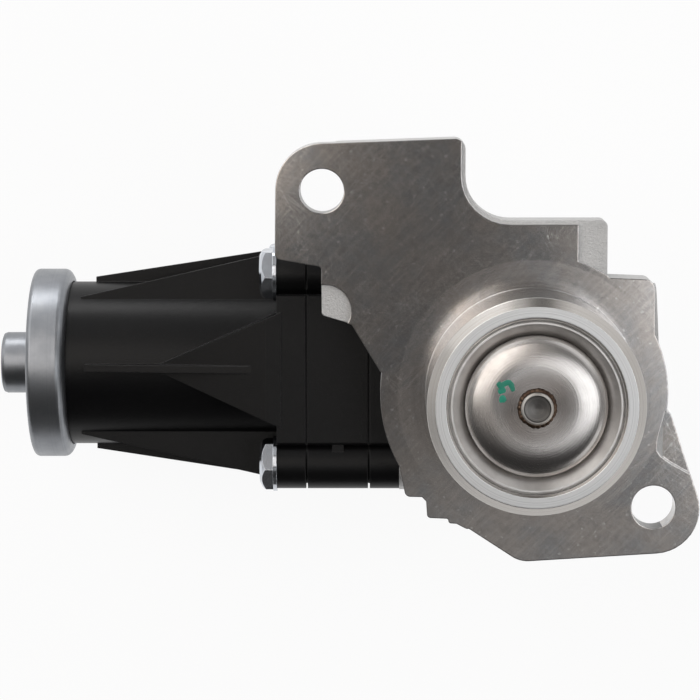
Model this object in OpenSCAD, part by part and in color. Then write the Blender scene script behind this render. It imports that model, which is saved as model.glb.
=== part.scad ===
// Electric exhaust gas recirculation valve.
// The origin is where the valve axis meets the machined flange face. +Z points out of the flange
// along the spigot, and the motor lies towards -X, its axis below the flange and parallel to X.

/* [Flange] */
// Thickness of the flange between its machined face and its cast back
flange_t = 9; // [7:0.5:11]
// Height of the machined face above the cast ledges beside it
face_step = 1.4; // [0.6:0.1:2.2]
// Diameter of the two bolt holes, clear of an M8 bolt
bolt_d = 9; // [8.4:0.1:10]
// Distance of the upper left bolt hole from the valve axis along X
bolt_a_x = -42.84; // [-45:0.02:-42]
// Distance of the upper left bolt hole from the valve axis along Y
bolt_a_y = 41.54; // [40:0.02:43]
// Distance of the lower right bolt hole from the valve axis along X
bolt_b_x = 25.06; // [24:0.02:27]
// Distance of the lower right bolt hole from the valve axis along Y
bolt_b_y = -23.44; // [-25:0.02:-22]
// Radius of the metal around each bolt hole
lug_r = 9.3; // [8.5:0.1:11]
// Thickness of the flange at the bolt holes, which are spot-faced from behind
lug_t = 6; // [5:0.5:6.5]
// Diameter of the turned face around the spigot
turned_d = 55.6; // [53:0.2:58]

/* [Spigot and valve] */
// Outer diameter of the spigot
spigot_d = 43.6; // [42:0.2:46]
// Height of the spigot above the machined face
spigot_h = 20; // [17:0.5:24]
// Width of the chamfer round the spigot's mouth
spigot_chamfer = 1.7; // [0.5:0.1:2.2]
// Diameter of the pocket that holds the seat ring
seat_ring_d = 35; // [34:0.2:37]
// Height of the seat ring
seat_ring_h = 11; // [9:0.5:13]
// Depth of the seat ring's top below the spigot's mouth
seat_recess = 0.7; // [0.4:0.1:1.2]
// Diameter of the poppet at its sealing edge
poppet_d = 28.5; // [27:0.1:29.5]
// Depth of the sealing edge below the spigot's mouth
poppet_recess = 3.3; // [2.8:0.1:4]
// Rise of the poppet's dome above its sealing edge
dome_rise = 3; // [2:0.1:3.6]
// Diameter of the nearly flat middle of the dome
dome_flat_d = 15.4; // [12:0.2:18]
// Diameter of the valve stem
stem_d = 6.5; // [6:0.1:7]
// Length of stem that stands out of the dome
stem_proud = 1.5; // [1:0.1:2.5]
// Distance that the valve opens
lift = 7; // [5:0.5:8]

/* [Gas chamber] */
// Outer diameter of the chamber behind the flange
chamber_d = 50; // [48:1:54]
// Wall of the chamber
chamber_wall = 4; // [3.5:0.25:5]
// Depth of the chamber's floor below the machined face
chamber_floor = 25; // [23:0.5:25.5]
// Height of the stem guide above the chamber's floor
guide_h = 12; // [8:0.5:14]
// Outer diameter of the stem guide
guide_d = 16; // [15:0.5:20]
// Diameter of the gas inlet
inlet_d = 20; // [17:0.5:21]
// Depth of the inlet's axis below the machined face
inlet_depth = 22.5; // [22:0.5:24]
// Distance of the inlet's face from the valve axis
inlet_reach = 27; // [26:0.5:28]
// Thickness of the inlet's flange
inlet_flange_t = 7; // [6:0.5:8]
// Distance between the two studs' holes in the inlet's flange
inlet_pitch = 30; // [29:0.5:32]
// Diameter of those tapped holes, drilled for M6
inlet_tap_d = 5; // [4.8:0.1:5.2]

/* [Gearbox] */
// Depth of the motor axis below the machined face
axis_depth = 50; // [49:0.5:54]
// Angle that the gearbox and motor are turned about their axis, top towards +Y
clock = 3.6; // [0:0.2:6]
// Side of the gearbox's square outline
box_w = 51; // [50:0.5:54]
// Pitch of the four housing screws
screw_pitch = 41; // [40.5:0.5:42.5]
// X of the joint between the valve body and the gear cover
body_joint_x = -27; // [-28:0.5:-26.5]
// Thickness of the gear cover
cover_t = 6.5; // [6:0.5:8]
// Length of the gear housing
gearbox_l = 13.3; // [13:0.1:14]
// Thickness of the motor housing's flange
motor_flange_t = 6.4; // [6:0.2:8]
// Wall of the gear housing
box_wall = 2.5; // [2:0.25:3]
// Shank diameter of the housing screws
screw_d = 6; // [5:0.5:6]
// Width across the flats of their hexagon heads
screw_af = 10; // [9:0.5:11]
// Height of their heads
screw_head_h = 3.7; // [3.2:0.1:5]

/* [Motor] */
// Outer diameter of the motor housing's tube
motor_d = 36; // [35:0.5:38]
// Wall of that tube
motor_wall = 1.5; // [1.2:0.1:2]
// Length of the tube in front of the square flange
motor_l = 51.8; // [50:0.2:55]
// Diameter of the end cap
cap_d = 41.7; // [41:0.1:44]
// Length of the end cap
cap_l = 8.4; // [7.5:0.1:10]
// Diameter of the boss on the end cap
cap_boss_d = 13.5; // [12:0.1:15]
// Length of that boss
cap_boss_l = 7.2; // [6:0.1:9]
// Thickness of the thin ribs along the motor housing
rib_t = 1.6; // [1.2:0.1:2.2]
// Distance between the two cheek ribs on each side
cheek_pitch = 19.8; // [18:0.2:22]
// Diameter of the rotor shaft
rotor_shaft_d = 3.2; // [3:0.1:3.6]
// Diameter of the armature core
core_d = 22.6; // [20:0.2:23]
// Length of the armature core
core_l = 24; // [20:1:26]
// Number of slots in the armature core
core_slots = 5; // [3:1:7]

/* [Gears] */
// Module of the gears
gear_m = 0.5; // [0.48:0.01:0.52]
// Teeth on the pinion and on the idler's small gear
small_teeth = 12; // [11:1:13]
// Teeth on the idler's large gear and on the output gear
large_teeth = 36; // [34:1:37]
// Pressure angle of the teeth
pressure_angle = 25; // [22:0.5:25]
// Play between meshing teeth, taken off each gear
tooth_play = 0.08; // [0.06:0.01:0.12]
// Width of the pinion
pinion_w = 3.6; // [3:0.1:4]
// Width of the output gear
output_w = 3.6; // [3:0.1:4]
// Diameter of the idler's pin
gear_pin_d = 3; // [2.5:0.1:3.2]

/* [Cam drive] */
// Diameter of the output shaft
shaft_d = 6; // [5:0.2:6.6]
// Diameter of the cam disc
cam_d = 32; // [30.5:0.5:33]
// Thickness of the cam disc
cam_t = 5; // [4.5:0.25:5.5]
// Depth of the spiral groove
groove_depth = 3.2; // [2.5:0.1:3.4]
// Diameter of the follower pin
pin_d = 5; // [4:0.1:5.2]
// Distance from the shaft to the pin when the valve is closed
pin_r_closed = 11.5; // [11:0.1:12]
// Angle that the cam turns through
cam_turn = 90; // [80:1:100]
// Distance from the stem's axis to the cam disc's face
cam_face_x = 8; // [7.6:0.1:8.6]
// Bore of the round case that holds the cam
case_bore = 34; // [33.8:0.1:35]
// Wall of that case
case_wall = 3.5; // [3:0.25:4.5]
// Distance from the valve axis to the case's open end
case_end_x = 9; // [8.5:0.5:12]
// Thickness of the cam cover
cam_cover_t = 3; // [2.5:0.25:4]
// Shank diameter of the cam cover's screws
cover_screw_d = 4; // [3:0.5:4]

/* [Return spring] */
// Diameter of the spring's wire
wire_d = 1.1; // [0.9:0.05:1.2]
// Diameter of the spring, measured to the wire's middle
coil_d = 10.6; // [10:0.1:11.4]
// Turns of the spring
coil_turns = 5; // [4:0.5:5.5]
// Closed length of the spring
spring_l = 14; // [13.5:0.1:15]

/* [Connector] */
// Width of the plug socket
socket_w = 26; // [24:0.5:30]
// Height of the plug socket
socket_h = 14; // [13:0.5:16]
// Wall of the plug socket
socket_wall = 1.6; // [1.4:0.1:2]
// Length of the plug socket in front of the square flange
socket_l = 25; // [22:0.5:28]
// Number of contact pins
pin_count = 5; // [3:1:6]
// Pitch of the contact pins
pin_pitch = 4; // [3:0.1:4.2]

/* [Fits] */
// Radial gap of a round piece seated in its pocket
seat_gap = 0.03; // [0.02:0.01:0.05]
// Radial gap of a round piece that runs in its bearing
run_gap = 0.05; // [0.03:0.01:0.08]
// Gap between pieces that move past each other
free_gap = 0.5; // [0.35:0.05:0.7]

/* [Hidden] */
$fn = 96;

// Overlap that joins two shapes of one casting or moulding
join = 0.5;

// Stations along X, from the valve body out to the motor's end
cover_x = body_joint_x - cover_t;
gearbox_x = cover_x - gearbox_l;
motor_flange_x = gearbox_x - motor_flange_t;
motor_end_x = motor_flange_x - motor_l;
cap_skirt_x = motor_end_x + 5.8;
cap_face_x = cap_skirt_x - cap_l;
boss_end_x = cap_face_x - cap_boss_l;
axis_z = -axis_depth;
half_box = box_w / 2;
screw_o = screw_pitch / 2;
screw_boss_r = screw_d / 2 + 2.3;
corner_r = half_box - screw_o;

// Stations along Z in the valve
ceiling_z = axis_z + case_bore / 2;
chamber_end_z = ceiling_z + case_wall + 0.5;
seat_z = spigot_h - poppet_recess;
dome_z = seat_z + dome_rise;
stem_top_z = dome_z + stem_proud;
poppet_t = 2;
seat_land = 1.7;
spring_foot_z = ceiling_z - spring_l;
spring_seat_t = 1.5;
shoulder_z = spring_foot_z - spring_seat_t;
pin_z = axis_z - pin_r_closed;
stem_eye_d = 8.8;
stem_end_z = pin_z - pin_d / 2 - 2.1;
ring_top_z = spigot_h - seat_recess;
ring_z = ring_top_z - seat_ring_h;
seat_bore_r = poppet_d / 2 - seat_land + 0.2;
throat_r = 14.5;
guide_top_z = guide_h - chamber_floor;
bush_r = 5.2;
stem_seal_r = 6.5;

// Corners of the flange outline that several shapes share
arm_x = -13.7;
shelf_y = 35.46;
fillet_r = 9.2;
ledge_w = 0.8;
left_rim_r = 31;
notch_x = bolt_a_x - 0.12;
drive_flange_t = 6;
inlet_root_x = 13.5;
screw_boss_l = 14;

// Stations along X in the gearbox
motor_wall_x = gearbox_x - 1;
wheel_w = 3;
pinion_x = motor_wall_x + 2.2;
wheel_x = pinion_x + 0.3;
rotor_tip_x = pinion_x + pinion_w + 0.3;
output_gear_x = rotor_tip_x + 0.5;
bearing_w = 5;
bearing_d = 13;
magnet_x = output_gear_x + output_w;
magnet_w = 2;
board_in_y = -7.2;
board_l = half_box - 6.5 + board_in_y;
centre_distance = gear_m * (small_teeth + large_teeth) / 2;
gear_room_r = gear_m * (large_teeth / 2 + 0.95) + free_gap;
idler_z = axis_z - centre_distance;
idler_stop_x = magnet_x + 0.7;
idler_small_l = idler_stop_x - 0.3 - wheel_x - wheel_w;
gear_pin_x = motor_wall_x - 2.2;
gear_pin_l = cover_x + 3.5 - gear_pin_x;
gear_hub_r = 5;
joint_seal_r = 17;
joint_seal_t = 1.2;
housing_screw_l = body_joint_x + 10 - motor_flange_x;

// Stations along X in the cam case
case_wall_x = -17;
cam_x = -cam_face_x - cam_t;
cam_hub_l = case_wall_x * -1 - free_gap + cam_x;
cam_hub_d = 14;
bush_l = 5.5;
seal_l = 3;
shaft_bush_r = 5;
shaft_seal_r = 7;
shaft_tip_x = cam_x + 1.3;
output_shaft_l = shaft_tip_x - output_gear_x;
pin_x = cam_x + cam_t - groove_depth + free_gap;
pin_l = stem_eye_d / 2 + 0.8 - pin_x;
ear_r = 4;
ear_pitch_r = 21;

// Stations along X in the motor
partition_x = motor_flange_x + 1.2;
commutator_l = 6;
commutator_d = 10;
holder_x = partition_x - 7.4;
commutator_x = holder_x - 0.6 - commutator_l;
core_x = commutator_x - 6 - core_l;
brush_t = 4;
brush_l = 7;
brush_wall = 1.2;
can_r = motor_d / 2 - motor_wall - seat_gap;
can_x = motor_end_x + 2;
can_t = 1.6;
air_gap = 0.77;
magnet_t = can_r - can_t - seat_gap - core_d / 2 - air_gap;
rotor_shaft_l = rotor_tip_x - boss_end_x - 3;
motor_bearing_r = 5;
motor_bearing_w = 3.2;
rear_bush_r = 4.5;
cap_lip = (cap_d - motor_d) / 2;
rim_r = motor_d / 2 + 0.35 * cap_lip;
cap_edge = 1.1;
cap_roll = 1.9;
cap_face_t = 1.2;
rim_l = 2.5;
rib_x = motor_end_x + 10;
cheek_tip_x = motor_flange_x - 27.5;
cheek_half_w = 12.4;
pad_x = motor_flange_x - 2.3;
socket_z = axis_z - 26;
pin_length = 13;
pin_t = 0.8;
pin_w = 1.6;

// Unit vector along v
function unit(v) = v / norm(v);

// Points of a round corner at v between its neighbours p and q
function corner(p, v, q, r, n) =
    let (
        a = unit(p - v),
        b = unit(q - v),
        half = acos(a * b) / 2,
        c = v + unit(a + b) * r / sin(half),
        s = v + a * r / tan(half) - c,
        e = v + b * r / tan(half) - c,
        a0 = atan2(s[1], s[0]),
        turn = atan2(e[1], e[0]) - a0,
        sweep = turn > 180 ? turn - 360 : turn < -180 ? turn + 360 : turn
    )
    [for (i = [0 : n]) c + r * [cos(a0 + sweep * i / n), sin(a0 + sweep * i / n)]];

// Outline through corners given as [x, y, radius], each rounded to its radius
function rounded(pts, n = 8) = [
    for (i = [0 : len(pts) - 1])
        let (
            m = len(pts),
            v = [pts[i][0], pts[i][1]],
            p = [pts[(i + m - 1) % m][0], pts[(i + m - 1) % m][1]],
            q = [pts[(i + 1) % m][0], pts[(i + 1) % m][1]]
        )
        each (pts[i][2] > 0 ? corner(p, v, q, pts[i][2], n) : [v])
];

// Rectangle w by h with rounded corners, centred
module rounded_rect(w, h, r) {
    polygon(rounded([[w / 2, h / 2, r], [-w / 2, h / 2, r], [-w / 2, -h / 2, r], [w / 2, -h / 2, r]]));
}

// Oval two-hole flange: a round middle and two round ends joined by their tangents
module oval_flange(pitch, end_r, side_r) {
    p = pitch / 2;
    t = acos((side_r - end_r) / p);
    a = [side_r * cos(t), side_r * sin(t)];
    b = [p + end_r * cos(t), end_r * sin(t)];
    circle(r = side_r);
    for (s = [-1, 1]) translate([s * p, 0]) circle(r = end_r);
    polygon([a, b, [b[0], -b[1]], [a[0], -a[1]], -a, -b, [-b[0], b[1]], [-a[0], a[1]]]);
}

// Places a shape drawn along +Z onto the motor axis, from station x towards +X
module on_axis(x, y = 0, z = axis_z) {
    translate([x, y, z]) rotate([0, 90, 0]) children();
}

// Turns its child with the gearbox about the motor axis
module clocked() {
    translate([0, 0, axis_z]) rotate([-clock, 0, 0]) translate([0, 0, -axis_z]) children();
}

// Extrudes an outline drawn in Y and Z about the motor axis, from station x towards +X
module along_x(x, l, y = 0, z = axis_z) {
    translate([x, y, z]) rotate([90, 0, 90]) linear_extrude(l) children();
}

// Ring with a bore; a bore radius of 0 gives a plain disc
module ring(r, bore, l) {
    difference() {
        cylinder(r = r, h = l);
        if (bore > 0) translate([0, 0, -1]) cylinder(r = bore, h = l + 2);
    }
}

// Repeats its child at the four housing screws
module at_screws() {
    for (sy = [-1, 1], sz = [-1, 1])
        translate([0, sy * screw_o, axis_z + sz * screw_o]) children();
}

// Screw with a chamfered hexagon head; the shank runs along +X from the head's seat
module hex_screw(x, d, af, head_h, l) {
    translate([x, 0, 0]) rotate([0, 90, 0]) {
        translate([0, 0, -0.4]) cylinder(d = d, h = l + 0.4);
        translate([0, 0, -0.8]) cylinder(d = af * 1.18, h = 0.8);
        translate([0, 0, -head_h]) intersection() {
            rotate(8) cylinder(d = af / cos(30), h = head_h, $fn = 6);
            rotate_extrude() polygon([
                [0, 0], [af * 0.4, 0], [af * 0.5, head_h * 0.14], [af * 0.6, head_h * 0.42],
                [af * 0.6, head_h], [0, head_h]
            ]);
        }
    }
}

// Involute tooth flank: polar angle at radius r, from the tooth's middle
function involute(a) = tan(a) * 180 / PI - a;
function flank_angle(r, rp, rb, teeth) =
    (180 / PI) * (PI / (2 * teeth) - tooth_play / (2 * rp))
    + involute(pressure_angle) - involute(acos(min(1, rb / r)));

// Outline of a spur gear with a tooth's middle on the local +X axis
module gear_outline(teeth) {
    rp = gear_m * teeth / 2;
    rb = rp * cos(pressure_angle);
    ra = rp + gear_m * 0.95;
    rf = rp - gear_m * 1.25;
    rs = max(rb, rf) + 0.001;
    flank = [for (i = [0 : 3]) rs + (ra - rs) * i / 3];
    polygon([
        for (k = [0 : teeth - 1])
            let (mid = 360 * k / teeth)
            each concat(
                [rf * [cos(mid - flank_angle(rs, rp, rb, teeth)), sin(mid - flank_angle(rs, rp, rb, teeth))]],
                [for (r = flank) r * [cos(mid - flank_angle(r, rp, rb, teeth)),
                                      sin(mid - flank_angle(r, rp, rb, teeth))]],
                [for (i = [3 : -1 : 0]) let (r = flank[i])
                    r * [cos(mid + flank_angle(r, rp, rb, teeth)), sin(mid + flank_angle(r, rp, rb, teeth))]],
                [rf * [cos(mid + flank_angle(rs, rp, rb, teeth)), sin(mid + flank_angle(rs, rp, rb, teeth))]]
            )
    ]);
}

// Whole outline of the cast flange, clockwise from its upper left lug
module flange_outline() {
    lug_x = bolt_a_x - lug_r;
    lug_y = bolt_a_y + lug_r;
    foot_y = bolt_b_y - lug_r;
    circle(d = turned_d);
    intersection() {
        circle(r = left_rim_r);
        translate([-40, -28]) square([40, 36]);
    }
    polygon(rounded([
        [lug_x, lug_y, lug_r], [arm_x, lug_y + 1.33, 2.2], [arm_x, shelf_y, fillet_r],
        [15.2, shelf_y, 1.3], [15.25, 23.84, 0.6], [24.8, 23.44, 2],
        [25.01, 6.25, 0], [26.82, -3.2, 0], [28.52, -4.21, 0.8],
        [bolt_b_x + 12.74, foot_y + 0.35, lug_r], [-2.28, foot_y - 2.14, 6],
        [-14.25, -27.03, 1.2], [-16.96, -26.83, 0.6], [-17.06, -25.91, 0.4], [-21.37, -25.71, 0.8],
        [-21.6, -21.4, 1], [-25.8, -21.3, 1.2], [-27.2, -14.54, 0],
        [-20, 0, 0], [-31, 4.54, 0], [-36.85, 14.27, 1],
        [notch_x, 16.07, 0.8], [notch_x - 0.04, 26.1, 0.8],
        [lug_x - 0.3, 27.75, 1.2], [lug_x - 0.24, 33.62, 0.4]
    ], 12));
}

// Parts of the flange that stay at the cast level beside the machined face
module cast_ledges() {
    polygon(rounded([
        [arm_x - ledge_w, shelf_y - ledge_w, fillet_r + ledge_w], [18, shelf_y - ledge_w, 0],
        [18, 60, 0], [arm_x - ledge_w, 60, 0]
    ]));
    difference() {
        translate([9.25, 24]) square([12, 12]);
        circle(d = turned_d + 1.8);
    }
    translate([notch_x + 0.7, 17.12]) circle(r = 5.3);
    translate([notch_x - 2, 13]) square([2.4, 9.2]);
    polygon([
        [27.2, -3.7], [25.8, -9.2], [25.6, -11.6], [26.5, -12.9], [28.8, -14.5], [36, -18.5], [36, -2]
    ]);
}

// Flange before any hole
module flange_plate() {
    translate([0, 0, -flange_t]) linear_extrude(flange_t - face_step) flange_outline();
    translate([0, 0, -face_step - join]) linear_extrude(face_step + join) difference() {
        flange_outline();
        cast_ledges();
    }
}

// Bolt hole with the spot face behind it, where the bolt's head sits
module bolt_seat() {
    translate([0, 0, -lug_t - 1]) cylinder(d = bolt_d, h = lug_t + 2);
    translate([0, 0, -flange_t - 1]) cylinder(r = lug_r + 0.8, h = flange_t + 1 - lug_t);
}

// Cast rib from the chamber out to the upper left bolt
module lug_rib() {
    reach = norm([bolt_a_x, bolt_a_y]) - lug_r - 1.6;
    rotate(atan2(bolt_a_y, bolt_a_x)) translate([0, 2.5, 0]) rotate([90, 0, 0]) linear_extrude(5) polygon([
        [chamber_d / 2 - 4, -flange_t + join], [reach, -flange_t + join],
        [reach, -flange_t - 1.5], [chamber_d / 2 - 4, -chamber_floor]
    ]);
}

// Turned outside of the spigot
module spigot_outside() {
    r = spigot_d / 2;
    rotate_extrude() polygon([
        [0, -join], [r, -join], [r, spigot_h - spigot_chamfer], [r - spigot_chamfer, spigot_h], [0, spigot_h]
    ]);
}

// Gas space: chamber, throat, pocket of the seat ring and the spigot's mouth
module gas_space() {
    r = chamber_d / 2 - chamber_wall;
    rotate_extrude() polygon([
        [0, -chamber_floor], [r - 3, -chamber_floor], [r, 3 - chamber_floor], [r, -flange_t - 1],
        [throat_r, 4 - flange_t], [throat_r, ring_z], [seat_ring_d / 2, ring_z],
        [seat_ring_d / 2, spigot_h - seat_recess], [seat_ring_d / 2 + 0.5, spigot_h + 0.01],
        [0, spigot_h + 0.01]
    ]);
    on_axis(inlet_root_x + 1, 0, -inlet_depth) cylinder(d = inlet_d, h = inlet_reach - inlet_root_x);
}

// Outside of the inlet neck and its oval flange
module inlet_outside() {
    on_axis(inlet_root_x, 0, -inlet_depth) cylinder(r = inlet_d / 2 + 2.8, h = inlet_reach - inlet_root_x);
    on_axis(inlet_reach - inlet_flange_t, 0, -inlet_depth) linear_extrude(inlet_flange_t)
        rotate(90) oval_flange(inlet_pitch, 5.5, inlet_d / 2 + 2.8);
}

// Round case of the cam with four ears for its cover
module case_outside() {
    on_axis(case_wall_x - 4) cylinder(r = case_bore / 2 + case_wall, h = case_end_x - case_wall_x + 4);
    at_cover_screws() on_axis(-3, 0, 0) cylinder(r = ear_r, h = case_end_x + 3);
}

// Repeats its child at the four screws of the cam cover
module at_cover_screws() {
    for (a = [45 : 90 : 315])
        translate([0, ear_pitch_r * cos(a), axis_z + ear_pitch_r * sin(a)]) children();
}

module valve_body() color("silver") difference() {
    union() {
        difference() {
            union() {
                flange_plate();
                lug_rib();
                spigot_outside();
                translate([0, 0, chamber_end_z]) cylinder(d = chamber_d, h = join - flange_t - chamber_end_z);
                translate([body_joint_x, -16, ceiling_z]) cube([20, 32, -flange_t + join - ceiling_z]);
                inlet_outside();
                case_outside();
                clocked() along_x(body_joint_x, drive_flange_t) rounded_rect(box_w, box_w, corner_r);
                clocked() at_screws() on_axis(body_joint_x, 0, 0) cylinder(r = screw_boss_r + 0.2, h = screw_boss_l);
            }
            gas_space();
            on_axis(case_wall_x) cylinder(d = case_bore, h = case_end_x - case_wall_x + 1);
        }
        translate([0, 0, ceiling_z + 1]) cylinder(d = guide_d, h = guide_top_z - ceiling_z - 1);
    }
    translate([0, 0, ceiling_z - 3]) cylinder(d = coil_d + 4, h = 3);
    translate([0, 0, ceiling_z - 1]) cylinder(r = bush_r, h = guide_top_z - ceiling_z + 2);
    translate([0, 0, guide_top_z - seal_l]) cylinder(r = stem_seal_r, h = seal_l + 1);
    on_axis(body_joint_x - 1) cylinder(r = shaft_bush_r, h = case_wall_x - body_joint_x + 2);
    on_axis(body_joint_x - 1) cylinder(r = shaft_seal_r, h = seal_l + 1);
    clocked() at_screws() on_axis(body_joint_x - 1, 0, 0) cylinder(r = screw_d / 2 + seat_gap, h = screw_boss_l - 2);
    at_cover_screws() on_axis(case_end_x - 9, 0, 0) cylinder(r = cover_screw_d / 2 + seat_gap, h = 10);
    translate([bolt_a_x, bolt_a_y, 0]) bolt_seat();
    translate([bolt_b_x, bolt_b_y, 0]) bolt_seat();
    for (s = [-1, 1])
        on_axis(inlet_reach - 10, s * inlet_pitch / 2, -inlet_depth) cylinder(d = inlet_tap_d, h = 11);
}

module seat_ring() color("tan") rotate_extrude() polygon([
    [seat_bore_r, ring_z], [seat_ring_d / 2 - seat_gap, ring_z],
    [seat_ring_d / 2 - seat_gap, ring_top_z - 0.4], [seat_ring_d / 2 - 0.5, ring_top_z],
    [poppet_d / 2 + 2.4, ring_top_z], [poppet_d / 2 + 0.1, seat_z],
    [seat_bore_r, seat_z - seat_land]
]);

module poppet() color("lightgray") {
    r = poppet_d / 2;
    base = seat_z - seat_land + 0.15;
    flat_r = dome_flat_d / 2;
    foot = seat_z + 0.5;
    rotate_extrude() polygon(concat(
        [[stem_d / 2 + seat_gap, base - 1.5], [5.2, base - 1.5], [6.7, base], [r - seat_land + 0.15, base],
         [r, seat_z]],
        [for (a = [0 : 5 : 90]) [flat_r + (r - flat_r) * cos(a), foot + (dome_z - 0.2 - foot) * sin(a)]],
        [[stem_d / 2 + seat_gap, dome_z]]
    ));
}

module weld_bead() color("saddlebrown") translate([0, 0, dome_z]) rotate_extrude() polygon([
    [stem_d / 2 + seat_gap, 0.02], [stem_d / 2 + 0.85, 0.02], [stem_d / 2 + 0.7, 0.35],
    [stem_d / 2 + 0.35, 0.6], [stem_d / 2 + seat_gap, 0.7]
]);

module stem() color("gainsboro") difference() {
    rotate_extrude() polygon([
        [0, stem_end_z], [stem_eye_d / 2 - 0.8, stem_end_z], [stem_eye_d / 2, stem_end_z + 0.8],
        [stem_eye_d / 2, shoulder_z], [stem_d / 2, shoulder_z], [stem_d / 2, stem_top_z - 0.3],
        [stem_d / 2 - 0.3, stem_top_z], [stem_d / 2 - 0.6, stem_top_z], [stem_d / 2 - 0.75, stem_top_z - 0.3],
        [0, stem_top_z - 0.55]
    ]);
    on_axis(-stem_eye_d, 0, pin_z) cylinder(r = pin_d / 2 + seat_gap, h = 2 * stem_eye_d);
}

module guide_bush() color("darkgoldenrod") translate([0, 0, ceiling_z])
    ring(bush_r - seat_gap, stem_d / 2 + run_gap, guide_top_z - seal_l - ceiling_z);

module stem_seal() color("dimgray") translate([0, 0, guide_top_z - seal_l]) rotate_extrude() polygon([
    [stem_d / 2 + run_gap, 0.6], [stem_d / 2 + 0.8, 0.02], [stem_seal_r - seat_gap, 0.02],
    [stem_seal_r - seat_gap, seal_l], [stem_d / 2 + 0.9, seal_l], [stem_d / 2 + run_gap, seal_l - 0.6]
]);

module spring_seat() color("silver") translate([0, 0, shoulder_z]) rotate_extrude() polygon([
    [stem_d / 2 + seat_gap, 0.01], [coil_d / 2 + 1.5, 0.01], [coil_d / 2 + 1.5, spring_seat_t],
    [coil_d / 2 - 0.9, spring_seat_t], [coil_d / 2 - 1.2, spring_seat_t + 0.7],
    [stem_d / 2 + seat_gap, spring_seat_t + 0.7]
]);

module follower_pin() color("silver") on_axis(pin_x, 0, pin_z)
    rotate_extrude() polygon([
        [0, 0], [pin_d / 2 - 0.4, 0], [pin_d / 2, 0.4], [pin_d / 2, pin_l - 0.5], [pin_d / 2 - 0.5, pin_l],
        [0, pin_l]
    ]);

// Middle line of the spring, wound at an even pitch
function coil_point(t) = [coil_d / 2 * cos(360 * coil_turns * t), coil_d / 2 * sin(360 * coil_turns * t),
    spring_foot_z + wire_d / 2 + (spring_l - wire_d) * t];

module return_spring() color("darkgray") {
    rings = round(coil_turns * 20);
    sides = 8;
    pts = [for (i = [0 : rings], k = [0 : sides - 1])
        let (
            c = coil_point(i / rings),
            out = unit([c[0], c[1], 0]),
            a = 360 * k / sides
        )
        c + wire_d / 2 * (cos(a) * out + [0, 0, sin(a)])];
    polyhedron(points = pts, faces = concat(
        [[for (k = [0 : sides - 1]) k]],
        [for (i = [0 : rings - 1], k = [0 : sides - 1])
            [i * sides + k, (i + 1) * sides + k, (i + 1) * sides + (k + 1) % sides, i * sides + (k + 1) % sides]],
        [[for (k = [sides - 1 : -1 : 0]) rings * sides + k]]
    ));
}

// Place of the pin in the cam disc's plane when the cam has turned by t degrees
function groove_point(t) = (pin_r_closed - lift * t / cam_turn) * [cos(270 - t), sin(270 - t)];
function groove_normal(t) = let (d = unit(groove_point(t + 0.1) - groove_point(t - 0.1))) [-d[1], d[0]];

// Spiral groove that lifts the pin evenly with the cam's angle
module groove_outline() {
    w = pin_d / 2 + 0.15;
    angles = [for (i = [0 : 24]) -1.5 + (cam_turn + 3) * i / 24];
    polygon(concat(
        [for (t = angles) groove_point(t) + w * groove_normal(t)],
        [for (i = [24 : -1 : 0]) groove_point(angles[i]) - w * groove_normal(angles[i])]
    ));
    for (t = [angles[0], angles[24]]) translate(groove_point(t)) circle(r = w);
}

module cam_disc() color("slategray") difference() {
    union() {
        on_axis(cam_x) cylinder(d = cam_d, h = cam_t);
        on_axis(cam_x - cam_hub_l) cylinder(d = cam_hub_d, h = cam_hub_l + join);
    }
    along_x(cam_x + cam_t - groove_depth, groove_depth + 1) groove_outline();
    on_axis(cam_x - cam_hub_l - 1) cylinder(r = shaft_d / 2 + seat_gap, h = cam_hub_l + 2.4);
}

module output_shaft() color("silver") on_axis(output_gear_x) rotate_extrude() polygon([
    [0, 0], [shaft_d / 2 - 0.4, 0], [shaft_d / 2, 0.4], [shaft_d / 2, output_shaft_l - 0.4],
    [shaft_d / 2 - 0.4, output_shaft_l], [0, output_shaft_l]
]);

module output_gear() color("ivory") clocked() difference() {
    union() {
        along_x(output_gear_x, output_w) rotate(270 + 180 / large_teeth) gear_outline(large_teeth);
        on_axis(output_gear_x + output_w - join) cylinder(r = gear_hub_r, h = magnet_w + join);
    }
    on_axis(output_gear_x - 1) cylinder(r = shaft_d / 2 + seat_gap, h = output_w + magnet_w + 2);
    on_axis(output_gear_x - 1) ring(large_teeth * gear_m / 2 - 1.8, gear_hub_r, 1.8);
}

module sensor_magnet() color("dimgray") on_axis(magnet_x + 0.01) ring(8, gear_hub_r + seat_gap, magnet_w - 0.1);

module idler_gear() color("ivory") clocked() difference() {
    union() {
        along_x(wheel_x, wheel_w, 0, idler_z) rotate(90 + 180 / large_teeth) gear_outline(large_teeth);
        along_x(wheel_x + wheel_w - join, idler_small_l + join, 0, idler_z) rotate(90) gear_outline(small_teeth);
    }
    on_axis(wheel_x - 1, 0, idler_z) cylinder(r = gear_pin_d / 2 + run_gap, h = wheel_w + idler_small_l + 2);
}

module gear_pin() color("silver") clocked() on_axis(gear_pin_x, 0, idler_z) cylinder(d = gear_pin_d, h = gear_pin_l);

module pinion() color("goldenrod") clocked() difference() {
    along_x(pinion_x, pinion_w) rotate(270) gear_outline(small_teeth);
    on_axis(pinion_x - 1) cylinder(r = rotor_shaft_d / 2 + seat_gap, h = pinion_w + 2);
}

module rotor_shaft() color("silver") on_axis(boss_end_x + 3) rotate_extrude() polygon([
    [0, 0], [rotor_shaft_d / 2 - 0.3, 0], [rotor_shaft_d / 2, 0.3],
    [rotor_shaft_d / 2, rotor_shaft_l - 0.3], [rotor_shaft_d / 2 - 0.3, rotor_shaft_l], [0, rotor_shaft_l]
]);

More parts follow.
